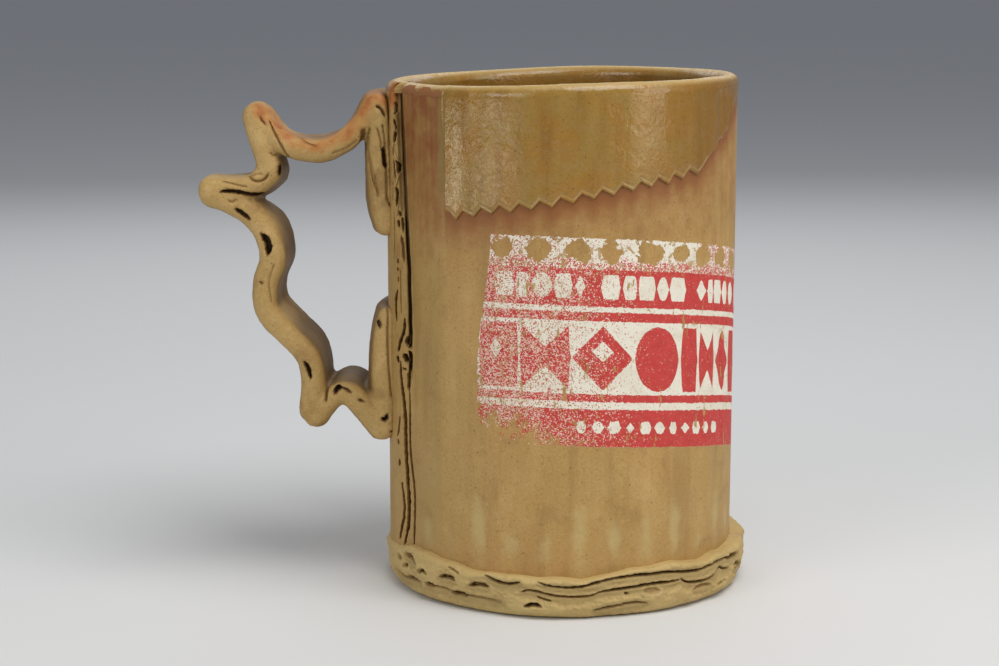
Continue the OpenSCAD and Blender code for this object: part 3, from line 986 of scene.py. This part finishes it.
# Cuts in the cut face and the wall beside it, in x and height as seen from the front.
SEAM_CUTS = cut_list("""
0.45 1.6: -42.07,124.2 -41.96,122.4 -42.22,121.1; 0.5 1.4: -42.4,119.9 -41.9,118.2 -42,117.3;
0.75 2.2: -42,116.9 -42.2,115.7 -42.5,114; 0.5 1.3: -42.75,112.9 -42.65,110.8;
0.85 3.2: -41.85,109.4 -41.3,108.4 -41.3,107.3 -41.3,106.1;
0.35 1: -42.6,109.6 -42.3,107.4 -42.2,105; 0.7 2.8: -41.95,102.5 -41.55,100.8 -41.75,97.8;
0.35 1.4: -42.9,103.4 -42.85,101 -43,99.2; 0.45 1.5: -41.35,94.3 -41.2,92.6;
0.5 1.5: -40.35,95 -40.1,91.6; 0.55 1.2: -41,96.6 -40.85,95.2;
0.7 1.1: -40.2,90 -40.05,87 -39.9,84.4; 0.3 1: -40.6,90.4 -40.5,88.6;
0.25 0.9: -41.52,84.7 -41.53,83.5; 0.25 0.9: -41.54,82.4 -41.55,81.5;
0.22 0.9: -41.44,80.1 -41.44,78.8; 0.4 2.2: -41.55,76.8 -42.1,74.6 -42.25,72 -42,68.8;
0.6 2.6: -39.76,69.8 -39.95,67 -40.7,64.7 -41.2,63.1 -41.6,61.1;
1.3 3.2: -38.6,65.6 -38.95,64.4 -39.1,63.2; 1.5 3.4: -40.1,60.7 -39.5,60 -38.9,58.8;
0.6 2: -41.75,59.8 -41.72,58.3; 0.5 1.4: -40.3,57.1 -39.4,56.9;
0.7 2.4: -38.72,56.4 -38.74,54.2 -38.75,51.8;
0.35 1.3: -38.6,52 -38.5,48.5 -38.55,40.7 -38.36,35.5 -37.8,30.3 -37.3,25.1 -37.4,18.5 -37.7,11.4;
0.75 2.4: -41,58.6 -40.76,53.6 -40.3,49.8 -39.94,45.9 -39.83,43.3 -39.63,35.5 -39.3,29 -38.96,22.4
    -39.13,17.2 -39.6,14.5 -40.33,11;
0.5 1.7: -40.9,27.4 -40.25,22.4 -40.4,18.5 -41,15.8 -41.6,12.3;
0.3 1.2: -41.3,44.4 -41.62,41.2 -42,39.2; 0.3 1.1: -41.9,38.3 -41.7,37.1;
0.35 1.3: -41.5,33.2 -41.57,31.6; 0.35 1.3: -40.85,27.4 -40.7,25.6;
0.22 0.6: -42.6,96 -42.5,90 -42.7,84; 0.22 0.6: -40.9,82 -40.8,76 -40.7,71""")
CORE = [(-42.46, 121.8), (-41.73, 119.7), (-41.62, 117.9), (-42.2, 115.7), (-42.62, 113.2),
        (-42.42, 111.7), (-41.6, 109.9), (-40.95, 108.5), (-41.05, 106.0), (-41.72, 104.0),
        (-42.0, 102.3), (-41.25, 100.3), (-41.38, 97.8), (-41.68, 95.4)]

# %% The seam's sheet
ACROSS, UP = 150, 560
SEAM_FOOT, SEAM_PAST_LIP = 8.0, 3.0
closeness = np.array([0.35, 0.35, 0.35, 0.6] + [1.6] * 5
                     + [1.4, 0.5, 0.4, 0.4, 0.4, 0.4, 0.5, 1.4] + [1.6] * 3)
legs = np.linalg.norm(np.diff(OPEN_LINE, axis=0), axis=1) * closeness
run = np.concatenate([[0], np.cumsum(legs)])
bm, column, row = sheet(ACROSS, UP)
s = column / ACROSS * run[-1]
z = SEAM_FOOT + row / UP * (LIP_Z + SEAM_PAST_LIP - SEAM_FOOT)
flat_z = np.minimum(z, LIP_Z)
shut = np.maximum(1 - fade(z, 53, 60), bell(z - 62.1, 0.75))
x, y = (np.interp(s, run, OPEN_LINE[:, i]) * (1 - shut)
        + np.interp(s, run, SHUT_LINE[:, i]) * shut for i in (0, 1))
angle = np.degrees(np.arctan2(y, x)) % 360
radius = np.hypot(x, y)
past_corner = fade(s, run[4], run[FIRST_DEEP])
on_wall = fade(s, run[LAST_DEEP - 1], run[-1])
wander = rough(np.stack([z, z * 0, z * 0], 1), (0.35, 6, 21), (0.2, 2, 22))
angle = angle + past_corner * (crack_at(z) - CRACK_LINE_ANGLE + wander * (1 - shut))
angle = angle + on_wall * (1 - fade(z, 50, 60)) * 4.5
# Lower down the cut face leans towards the wall and leaves a finer crack.
leaning = fade(s, run[5], run[FIRST_DEEP]) * (1 - fade(s, run[FIRST_DEEP + 1], run[FIRST_DEEP + 4]))
angle = angle + 0.9 * leaning * (1 - fade(z, 80, 108)) * (1 - shut)
# The slab is thinner towards the foot, where it was pressed on harder.
near_end = np.minimum(angle, 200)
radius = radius + (wall_radius(near_end, z) - overlap_r(near_end)) * (1 - past_corner)
radius = radius - 0.3 * (1 - fade(angle, 184.6, 186.0))
x, y = polar(radius, angle)
facing = fade(s, run[3], run[6])
deep_part = (fade(s, run[FIRST_DEEP], run[FIRST_DEEP + 2])
             * (1 - fade(s, run[LAST_DEEP - 2], run[LAST_DEEP - 1])) * (1 - shut))
flat = np.stack([x, z], 1)
depth, dark, swell = cut(flat, SEAM_CUTS, 0.14)
ridge = cut(flat, [(0.3, 1.2, CORE)], 0.2)[0]
# Between the core and the crack the face is sunk and torn, and the sunk strip is darkened with
# painted shade.
crack_x = polar(WALL_R, crack_at(z))[0]
sunk = (fade(x, crack_x - 1.75, crack_x - 1.15) * (1 - fade(x, crack_x - 0.35, crack_x))
        * fade(z, 92, 99) * facing)
torn = (lumps(np.stack([x * 1.6, y, z * 0.45], 1), 1.1, 5) * 0.16
        + lumps(np.stack([x, y, z * 0.3], 1), 3.0, 6) * 0.2
        + lumps(np.stack([x * 2.2, y, z * 0.16], 1), 0.8, 7) * 0.1)
push = (0.5 * ridge + 0.14 * swell + torn * (0.35 + 0.65 * facing)
        - depth * (1 - deep_part) - sunk) * fade(s, 0, run[2])
# The cut face is pushed away from the front, the rest towards the axis.
x = x - push * 0.2 * facing + np.cos(np.radians(angle)) * push * (1 - facing)
y = y - push * 0.98 * facing + np.sin(np.radians(angle)) * push * (1 - facing)
# Over the rim the edge bends inward with the lip.
over = np.clip((z - LIP_Z) / LIP_R, 0, 2.2)
scale = 1 - LIP_R * (1 - np.cos(over)) * 1.05 / np.hypot(x, y)
x, y = x * scale, y * scale
z_up = flat_z + LIP_R * np.sin(over) * 1.1
place(bm, np.stack([x, y, z_up + rim_lean(x, z_up)], 1))
# Painted shade: the splits are darkened, the deep crack fully, and the sunk strip beside it partly.
seam_shade = np.maximum(dark * (1 - deep_part) * (0.6 + 0.25 * fade(z, 50, 62)), deep_part)
tip = fade(z, 119, 127) * (1 - fade(x, -41.6, -40.9)) * fade(angle, 192, 197)
seam_values = {
    "dark": np.clip(np.maximum(seam_shade, 0.52 * sunk), 0, 1),
    "flash": tip * 1.25,
    "pale": 0.8 * ridge + 0.25 * facing * (z < 60),
    # A deeper brown over the whole sheet, a little more on the lower cut face.
    "ash": 0.25 + 0.1 * (z < 60) * facing,
    "panel": panel_at(angle, z) * fade(s, run[FIRST_DEEP + 4], run[LAST_DEEP - 1])}


def seam_finish():
    """Bare clay that takes the wall's own marks where the sheet comes up on the wall."""
    f, colour, height, grain = clay("stoneware_seam")
    colour = f.tint(colour, kiln_marks(f, colour)[0], f.stored("panel"), 0.02, 0.2)
    colour = f.mark(colour, CLAY_PALE, "pale", 0.75)
    colour = f.mark(colour, CLAY_DEEP, "ash", 0.8)
    return bare(f, colour, grain, 0.34, f.relief(height, 0.6, 0.2))


finish(bm, "seam_edge", seam_values, seam_finish())

# %% [markdown]
# ## The foot band
# Strips of clay are layered round the foot like the edge of stacked card. Long
# dark splits run between the layers, and short arched holes are the ends of
# flutes. A sheet is rolled into a ring whose top edge waves, the layers swell
# between the splits, and every hole is pressed in.
# %% Splits and holes, as angle and height
BAND_TOP = [(0, 11.2), (20, 11.6), (45, 11.8), (80, 11.3), (120, 10.2), (160, 9.8), (190, 10.2),
            (204, 11.4), (212, 12.2), (220, 12.2), (228, 11.5), (237, 10.9), (244, 10.3),
            (255, 10.4), (264, 10.3), (276, 9.9), (283, 10.7), (291.5, 11.7), (300, 12.1),
            (308, 12.1), (313, 11.4), (320, 10.8), (329, 11.2), (338, 11.0), (348, 11.1),
            (360, 11.2)]


def band_top(a):
    return np.interp(np.asarray(a) % 360, *zip(*BAND_TOP))


LONG_SPLITS = cut_list("""
0.55 1.5: 245,10 247.5,9.25 249.9,8.7 252.6,8.5 253.5,8.46 256.7,9.1;
0.5 1.6: 262.5,9.5 265,8.85 268,8.5 272.5,8.3 276.8,8.6 281.8,9.6 287,10.2 292.5,10.4 297,10.3
    302.6,10.25 308.4,9.7 313.7,9.1 318,8.9 323,9.2 328,9.5 336,9.1;
0.35 1.1: 257.5,6.8 259.4,7.35 262.5,7.1 263.6,6.9 268,6.2 273,5.9 278.4,6.1 281.4,7;
0.55 1.6: 281,6.95 285.3,7.35 289.3,7.5 294.2,7.65 299.4,7.75 305,7.5 309,7.6;
0.45 1.4: 309.5,7.8 312.5,6.5 318.7,5.8 324,6.1 328,7.7 331,6.7 334.5,6.3;
0.3 1: 262.3,5.8 264.4,5.25 266.5,4.85; 0.35 1: 232,10.4 234,10 236,9.4; 0.2 0.5: 238,11.3 241,11.2;
0.35 1.1: 280,2.4 285.4,3 291,3.6 297,3.2; 0.45 1.3: 200,4.4 204,3.7 209,3.7 214,4.3 219,4.5;
0.3 0.8: 223,4.5 230,4.7 236,4.2 244,4 251,3.8""")
HOLES = cut_list("""
1 2: 202.8,8.2 205.1,8.45 207,8.4; 1.1 2.4: 209.4,9.7 213.1,9.9 215.6,9.2;
0.9 2: 213.5,9.4 216.2,8.8; 0.8 1.7: 208.2,6.4 209.5,7.1 210.8,6.7;
0.9 2: 218,6.9 220.6,7.8 222.2,7.1; 0.75 2: 227.8,7.2 231,7.9 234.2,7.5;
0.95 2.2: 240,6.8 242.8,7.5 246.3,7.2; 0.8 2: 258.4,3.2 261,3.8 263.4,3.5;
0.8 1.8: 211.5,4.4 215.5,4.6; 0.8 1.8: 222,4.6 226,4.8; 0.9 2: 233,4.1 236.5,4.3 238.5,3.9;
1 2: 333.5,8.9 338.5,8.8 343,8.3; 0.9 1.8: 350.5,8 352.5,8.2; 0.7 1.6: 338,5.6 341.6,6 345.5,5.2;
0.5 1: 289.4,6.2 290.6,6.1; 1.5 0.5: 296,6.3 298.6,6 301.3,5.8; 0.6 0.8: 315,4.3 319,4.6 323,4.2;
0.5 0.9: 326,3.6 331,4""")
# The far side carries the same kinds of splits, drawn from a seeded list.
draw = np.random.default_rng(7)
for level, start, end in [(0.74, 352, 520), (0.46, 340, 540), (0.24, 345, 555)]:
    at = start
    while at < end:
        span = draw.uniform(14, 38)
        line = []
        for a0 in np.arange(at, min(at + span, end), 4.5):
            line.append((a0, band_top(a0) * (level + 0.035 * math.sin(a0 * 0.11 + level * 9))))
        if len(line) > 1:
            LONG_SPLITS.append((draw.uniform(0.3, 0.6), draw.uniform(1.0, 1.7), line))
        at += span + draw.uniform(1, 7)
for _ in range(26):
    a0 = draw.uniform(358, 552)
    h0 = band_top(a0) * draw.choice([0.34, 0.6, 0.83])
    half = draw.uniform(1.2, 2.4)
    arch = [(a0 - half, h0 - 0.2), (a0, h0 + 0.3), (a0 + half, h0 - 0.2)]
    HOLES.append((draw.uniform(0.6, 1.1), draw.uniform(1.5, 2.2), arch))
print(len(LONG_SPLITS), "splits and", len(HOLES), "holes in the foot band")


# %% The band's sheet
AROUND, OVER = 900, 74
CORNER = 1.3                        # the rounding of the band's top edge
TUCK_IN, TUCK_UP = 3.2, 4.2         # the foot of the band curves in under it
SHOULDER, SIDE, TUCK, UNDER = 0.10, 0.20, 0.64, 0.95    # where each part of the sheet starts
BAND_FOOT = 0.25
BEHIND = 1.2                        # how far the sheet starts inside the wall
UNDERSIDE = 3.2                     # how far it goes on under the foot
ALONG = math.radians(BAND_R)        # millimetres along the band for one degree

bm, column, row = sheet(AROUND, OVER)
turn = column / AROUND * 360
t = row / OVER
top = (band_top(turn) + 0.12 * np.sin(np.radians(19 * turn))
       + 0.1 * np.sin(np.radians(31 * turn + 30)))
out_r = BAND_R + 0.35 * np.cos(np.radians(turn)) + 0.15 * np.sin(np.radians(7 * turn)) - 0.05
out_r = out_r + 0.8 * np.exp(6 * (np.cos(np.radians(turn + 5)) - 1))
wall_here = wall_radius(turn, top)
shoulder_turn = np.clip((t - SHOULDER) / (SIDE - SHOULDER), 0, 1) * math.pi / 2
tuck_turn = np.clip((t - TUCK) / (UNDER - TUCK), 0, 1) * math.pi / 2
r = np.select(
    [t < SHOULDER, t < SIDE, t < UNDER],
    [wall_here - BEHIND + (out_r - CORNER - wall_here + BEHIND) * t / SHOULDER,
     out_r - CORNER + CORNER * np.sin(shoulder_turn),
     out_r - TUCK_IN + TUCK_IN * np.cos(tuck_turn)],
    out_r - TUCK_IN - (t - UNDER) / (1 - UNDER) * UNDERSIDE)
z = np.select(
    [t < SHOULDER, t < SIDE, t < TUCK, t < UNDER],
    [top + 0.15 - 0.15 * t / SHOULDER,
     top - CORNER * (1 - np.cos(shoulder_turn)),
     top - CORNER - (t - SIDE) / (TUCK - SIDE) * (top - CORNER - TUCK_UP - BAND_FOOT),
     BAND_FOOT + TUCK_UP * (1 - np.sin(tuck_turn))],
    BAND_FOOT)
loops = []
for wide, deep, line in LONG_SPLITS + HOLES:
    for back in (0, 360) if max(a for a, h in line) > 360 else (0,):
        loops.append((wide, deep, [((a - back) * ALONG, h) for a, h in line]))
flat = np.stack([turn * ALONG, z], 1)
depth, dark, swell = cut(flat, loops, 0.2)
ledges = [(w + 1.9, 0.6, line) for w, _, line in loops if line[-1][0] - line[0][0] > 4.6]
soft = cut(flat + (0, 0.7), ledges, 1.5)[0] * 1.25
outside = fade(t, 0.12, 0.2) * (1 - fade(t, 0.9, 0.96))
points = np.stack([*polar(r, turn), z], 1)
uneven = (rough(points, (0.24, 7, 8), (0.13, 1.9, 9), (0.07, 0.8, 10))
          + rough(points * (1, 1, 5), (0.34, 9, 14), (0.16, 3.5, 15)))
r = r + outside * (0.2 - soft - depth + 0.22 * swell)
r = r + uneven * fade(t, 0.05, 0.12) * (1 - fade(t, 0.9, 0.97))
z = z + 0.25 * uneven * (t < 0.3)
place(bm, np.stack([*polar(r, turn), np.maximum(z, 0.05)], 1))
# Painted shade: the splits and holes are darkened, and the recess under each ledge is browned and
# darkened a little.
band_values = {
    "dark": np.clip(dark * outside + 0.1 * soft * outside, 0, 1),
    "pale": 0.5 + 0.3 * swell,
    "ash": 0.4 * soft * outside,
    "flash": 0.3 * (1 - fade(t, 0.1, 0.2)) * (0.5 + 0.5 * lumps(points, 12, 4))}
finish(bm, "foot_band", band_values, foot_clay, merge=0.02)

# %% [markdown]
# ## The handle
# The handle is one thick strap of layered clay, folded back and forth. Each
# length between folds is a tube with a soft rectangular section swept along a
# smooth line. The lengths are joined and remeshed into one skin, which melts
# the folds together as wet clay does, and then the splits in its edges are
# pressed in from both sides.
# %% Lengths of strap, as distance out from the wall, height and thickness
STRAP = [
    [(3.1, 55.6, 5.4), (3.8, 61, 6.6), (4.2, 69, 6.6), (4.3, 77, 6.2), (4.8, 86.2, 5.6)],
    [(5.6, 86.4, 5.2), (8.4, 81.2, 5), (12.4, 76.6, 5.4), (18, 74.4, 6), (24.5, 74.6, 6),
     (29.5, 77, 5.6), (34, 82, 6.4)],
    [(34.2, 82, 6.8), (33.4, 77.5, 6), (32, 73, 6), (31, 68.8, 6.4)],
    [(31.4, 67.6, 6.6), (34.5, 64.8, 6), (39, 64.2, 5.6), (45.8, 63.8, 6.6)],
    [(46, 62.6, 6.4), (41.5, 61, 5.6), (36, 58.4, 6), (32, 53.6, 6.6), (30.5, 47, 6.8),
     (32.5, 40.4, 6.6), (32, 33.6, 6.4), (27, 27.8, 6.2), (21.8, 22, 6.4), (20.6, 15, 6.4),
     (21, 8.2, 7)],
    [(20, 7, 6.8), (16, 11, 5.8), (12.4, 13, 5.8), (9.2, 10, 6), (4.6, 3.6, 6.6)],
    [(4, 3.8, 6.6), (3.6, 12, 7), (3.6, 21, 6.8), (3.2, 28, 6.2), (2.8, 32.8, 4.6)],
]
REACH_SCALE, RISE_SCALE, HANDLE_FOOT = 49 / 49.2, 89 / 88.7, 36.5
STRAP_W, STRAP_EDGE = 26.0, 3.1


def strap_point(p):
    return (-(WALL_R + p[0] * REACH_SCALE), HANDLE_FOOT + (p[1] - 0.3) * RISE_SCALE, p[2])


# %% Sweep each length and join them
HOOP = 56                           # points round the strap
END_TURNS = (22, 45, 65, 84)        # degrees round each rounded end where a ring lies


def section(half_t, half_w, soft):
    """The strap's section: a slab with round edges, as HOOP points."""
    a = np.linspace(0, FULL_TURN, HOOP, endpoint=False)
    u, v = np.cos(a), np.sin(a)
    stretch = 1 / np.maximum(np.abs(u), np.abs(v))
    px, py = u * stretch * half_t, v * stretch * half_w
    cx, cy = np.clip(px, soft - half_t, half_t - soft), np.clip(py, soft - half_w, half_w - soft)
    length = np.hypot(px - cx, py - cy)
    length = np.where(length < 1e-9, 1, length)
    return cx + (px - cx) / length * soft, cy + (py - cy) / length * soft


def sweep_length(points):
    """One length of strap: a sheet rolled into a tube along the line, with round ends."""
    line = through([strap_point(p) for p in points], 8)
    step = np.gradient(line[:, :2], axis=0)
    step /= np.linalg.norm(step, axis=1)[:, None]
    rings = [(line[0], step[0], -t) for t in END_TURNS[::-1]]
    rings += [(p, d, 0) for p, d in zip(line, step)]
    rings += [(line[-1], step[-1], t) for t in END_TURNS]
    hoops = []
    for p, d, t in rings:
        half = p[2] / 2
        share = math.cos(math.radians(t))
        centre = p[:2] + d * half * math.sin(math.radians(t))
        u, v = section(half * share, STRAP_W / 2 - STRAP_EDGE * (1 - share),
                       min(STRAP_EDGE, half * share * 0.95))
        hoops.append(np.stack([centre[0] - d[1] * u, v, centre[1] + d[0] * u], 1))
    bm, column, row = sheet(HOOP, len(rings) - 1)
    place(bm, np.array(hoops)[row, column % HOOP])
    bmesh.ops.remove_doubles(bm, verts=bm.verts, dist=0.0005)
    bmesh.ops.holes_fill(bm, edges=bm.edges, sides=HOOP)
    bmesh.ops.recalc_face_normals(bm, faces=bm.faces)
    return to_mesh(bm, "length")


bm = bmesh.new()
for length in STRAP:
    part = sweep_length(length)
    bm.from_mesh(part)
    bpy.data.meshes.remove(part)
strap_object = show("rough_strap", to_mesh(bm, "rough_strap"))
skin = strap_object.modifiers.new("skin", "REMESH")
skin.mode, skin.voxel_size = "VOXEL", 0.5
evaluated = strap_object.evaluated_get(bpy.context.evaluated_depsgraph_get())
skinned = bpy.data.meshes.new_from_object(evaluated)
bpy.data.objects.remove(strap_object)
print("remeshed strap:", len(skinned.polygons), "faces")

# %% [markdown]
# The splits are placed on the strap's edge, as distance from the mug's
# axis and height. They go a little deeper on the near side. Faces close to a
# split are divided once first, so that its sides stay sharp.
# %% Splits in the strap's edges
STRAP_CUTS = cut_list("""
0.6 1.2: -48.7,122.2 -47.7,121.6 -46.7,119.9; 1 2.4: -47.1,111.9 -46.9,109.4 -46.6,106.7;
0.3 0.8: -50.4,116.6 -50.8,112.6 -50.1,107.6 -49.6,103.9 -48.5,100.1;
0.32 0.8: -47.3,117.5 -46.8,113.9 -46.6,107.6 -46.4,102.6 -46.2,98.8 -44.4,96.3 -43.6,93.3;
0.3 0.7: -48.6,116.9 -47.8,113.9 -47.7,111.4; 0.35 0.8: -49.2,105.1 -48.7,101.3 -48.5,99.6;
1 1.2: -51.6,116.6 -51.9,113.4 -52,111.4; 0.35 0.9: -76,118.3 -75.6,117.5 -74.9,116.8;
0.38 0.8: -73.8,117.2 -73.1,115.6 -71.9,113.3 -70.4,110.8 -68.6,107.8;
0.3 0.6: -73.7,109.5 -73,108.8 -71.9,109.3; 1.2 2.6: -70.9,107.1 -71.4,105.5 -71.8,103.8;
0.4 1: -79.2,103.4 -78.1,102.5 -76.3,102.4 -75.1,103 -74.3,104.1;
0.22 0.5: -78.8,103.6 -77.3,104.1 -75.8,104.1;
0.25 0.6: -85.7,102.2 -83.4,101.7 -81.4,101.2 -79.6,101;
0.8 2.6: -86.2,99.8 -82.7,99.7 -79.7,99.1 -76.9,98.9 -74.2,99.2;
0.7 2: -82.6,95.7 -81,94.9 -79.2,93.8; 0.3 0.7: -84.5,97.6 -83.5,97.3 -82.4,97.8;
1.7 3: -76.2,90 -75,88.4 -74.6,86.6 -74.9,84.9; 0.5 1: -69.9,88.8 -69.7,88.4;
0.5 1: -76.7,78 -76.4,77.4; 0.85 2.2: -65.9,57.2 -65,55.6 -64.5,53.3;
0.5 1.3: -58.9,54.2 -59.9,51.6 -60.4,49.6 -60.6,47.1; 1.3 2.4: -58.4,49.1 -57.6,50.5 -56.5,50.6;
0.5 1.3: -56.8,50.9 -55.4,50.2 -54.6,49.4; 0.25 0.6: -56.3,54.3 -55.1,53.3 -54.1,52.4;
0.5 1.2: -53.1,47.6 -52.3,47.1; 0.7 1.6: -48.4,68 -48.3,66.3;
0.3 0.8: -46.3,71 -46.5,64.5 -46.4,58 -45.9,51.5 -45.6,48.5;
0.35 0.8: -45,71.6 -44.4,65.8 -44.2,58 -43.9,50; 1 2: -48,42.9 -47.1,42.3;
1 2: -47.1,42.4 -46.8,43.6; 0.3 0.7: -46,39.3 -45,39.8 -44.6,41.2;
0.25 0.6: -62.4,112.2 -65,112.8 -67.6,114.6; 0.22 0.5: -58,110.6 -55,111.8 -52.9,113.8;
0.22 0.5: -73.2,82.5 -74.6,78 -74.2,72.8; 0.25 0.6: -66,64 -69,67.5 -72,71""")
bm = bmesh.new()
bm.from_mesh(skinned)
bpy.data.meshes.remove(skinned)
for _ in range(2):
    bmesh.ops.smooth_vert(bm, verts=bm.verts, factor=0.5,
                          use_axis_x=True, use_axis_y=True, use_axis_z=True)
co = np.array([v.co for v in bm.verts])
gap = cut(co[:, [0, 2]], [(w + 1.0, 1.0, line) for w, _, line in STRAP_CUTS], 0.4)[0]
near = (gap > 0.02) & (co[:, 1] < -STRAP_W / 2 + 2.8)
bm.verts.ensure_lookup_table()
chosen = {bm.verts[i] for i in np.where(near)[0]}
close = [e for e in bm.edges if e.verts[0] in chosen and e.verts[1] in chosen]
bmesh.ops.subdivide_edges(bm, edges=close, cuts=1, use_grid_fill=True, smooth=0.0)
print("divided", len(close), "edges near the splits")

# %% Press the splits in
co = np.array([v.co for v in bm.verts])
half_w = STRAP_W / 2
from_middle = np.abs(co[:, 1])
edge_face = fade(from_middle, half_w - 3.2, half_w - 1.3)
far_cuts = [(w * 0.9, d * 0.8, [(x + 0.8 * math.sin(z), z + 0.9 * math.cos(x)) for x, z in line])
            for w, d, line in STRAP_CUTS]
near = cut(co[:, [0, 2]], STRAP_CUTS, 0.3)
far = cut(co[:, [0, 2]], far_cuts, 0.35)
depth, dark, swell = (np.where(co[:, 1] < 0, a, b) * edge_face for a, b in zip(near, far))
uneven = rough(co, (0.28, 8, 11), (0.12, 2.2, 12), (0.05, 0.9, 13))
bm.normal_update()
normals = np.array([v.normal for v in bm.verts])
side = np.sign(co[:, 1])
co = co + normals * (uneven * 0.8 * (1 - np.clip(depth, 0, 1)))[:, None]
co[:, 1] -= side * (depth - 0.15 * swell)
# The two ends were pressed on, so they follow the curve of the wall.
pressed = 1 - fade(-co[:, 0] - WALL_R, 6.5, 13)
# The two outer folds were pulled up, pinched in and droop on their far side.
PINCH_FROM = -4                     # where across the strap the pinch starts
fold = fade(-co[:, 0], 60, 74) * fade(co[:, 2], 92, 99)
past = co[:, 1] - PINCH_FROM
pinch = 0.32 * fold * (past > 0)
co[:, 2] += 1.1 * fold - 0.35 * past * pinch
co[:, 1] -= past * pinch
co[:, 0] += (WALL_R - np.sqrt(WALL_R**2 - np.clip(co[:, 1], -14, 14) ** 2)) * pressed
place(bm, co)

# %% Flashes on the strap's upper folds, as width and points
FLASHES = [(2.6, [(-44.0, 124.0), (-48.0, 123.8), (-51.5, 119.0), (-55.5, 114.8)]),
           (1.7, [(-55.5, 114.8), (-61.0, 112.4), (-66.0, 112.6), (-70.5, 115.5)]),
           (2.2, [(-70.5, 115.5), (-73.0, 119.0), (-76.5, 121.5)])]
flash = np.zeros(len(co))
for wide, line in FLASHES:
    gap, _ = nearest(co[:, [0, 2]], through(line))
    flash = np.maximum(flash, bell(gap, wide))
flash = flash * (0.35 + 0.65 * fade(-co[:, 1], -6, 10))
broad = 1 - fade(np.abs(co[:, 1]), half_w - 3.2, half_w - 1.2)
lit_top = fade(normals[:, 2], 0.1, 0.6) * fade(-co[:, 0], 66, 71)  # painted light: up-facing tops of the two outer folds
# Painted light and shade: the splits are darkened, the broad faces get painted brown shade, and the
# up-facing tops of the outer folds get a little painted light and no shade.
strap_values = {"dark": np.clip(dark, 0, 1), "flash": flash * 0.8,
                "pale": 0.15 * (1 - broad) + 0.1 * broad * lit_top,
                "ash": 0.8 * broad * (1 - lit_top)}
finish(bm, "handle_strap", strap_values, edge_clay)
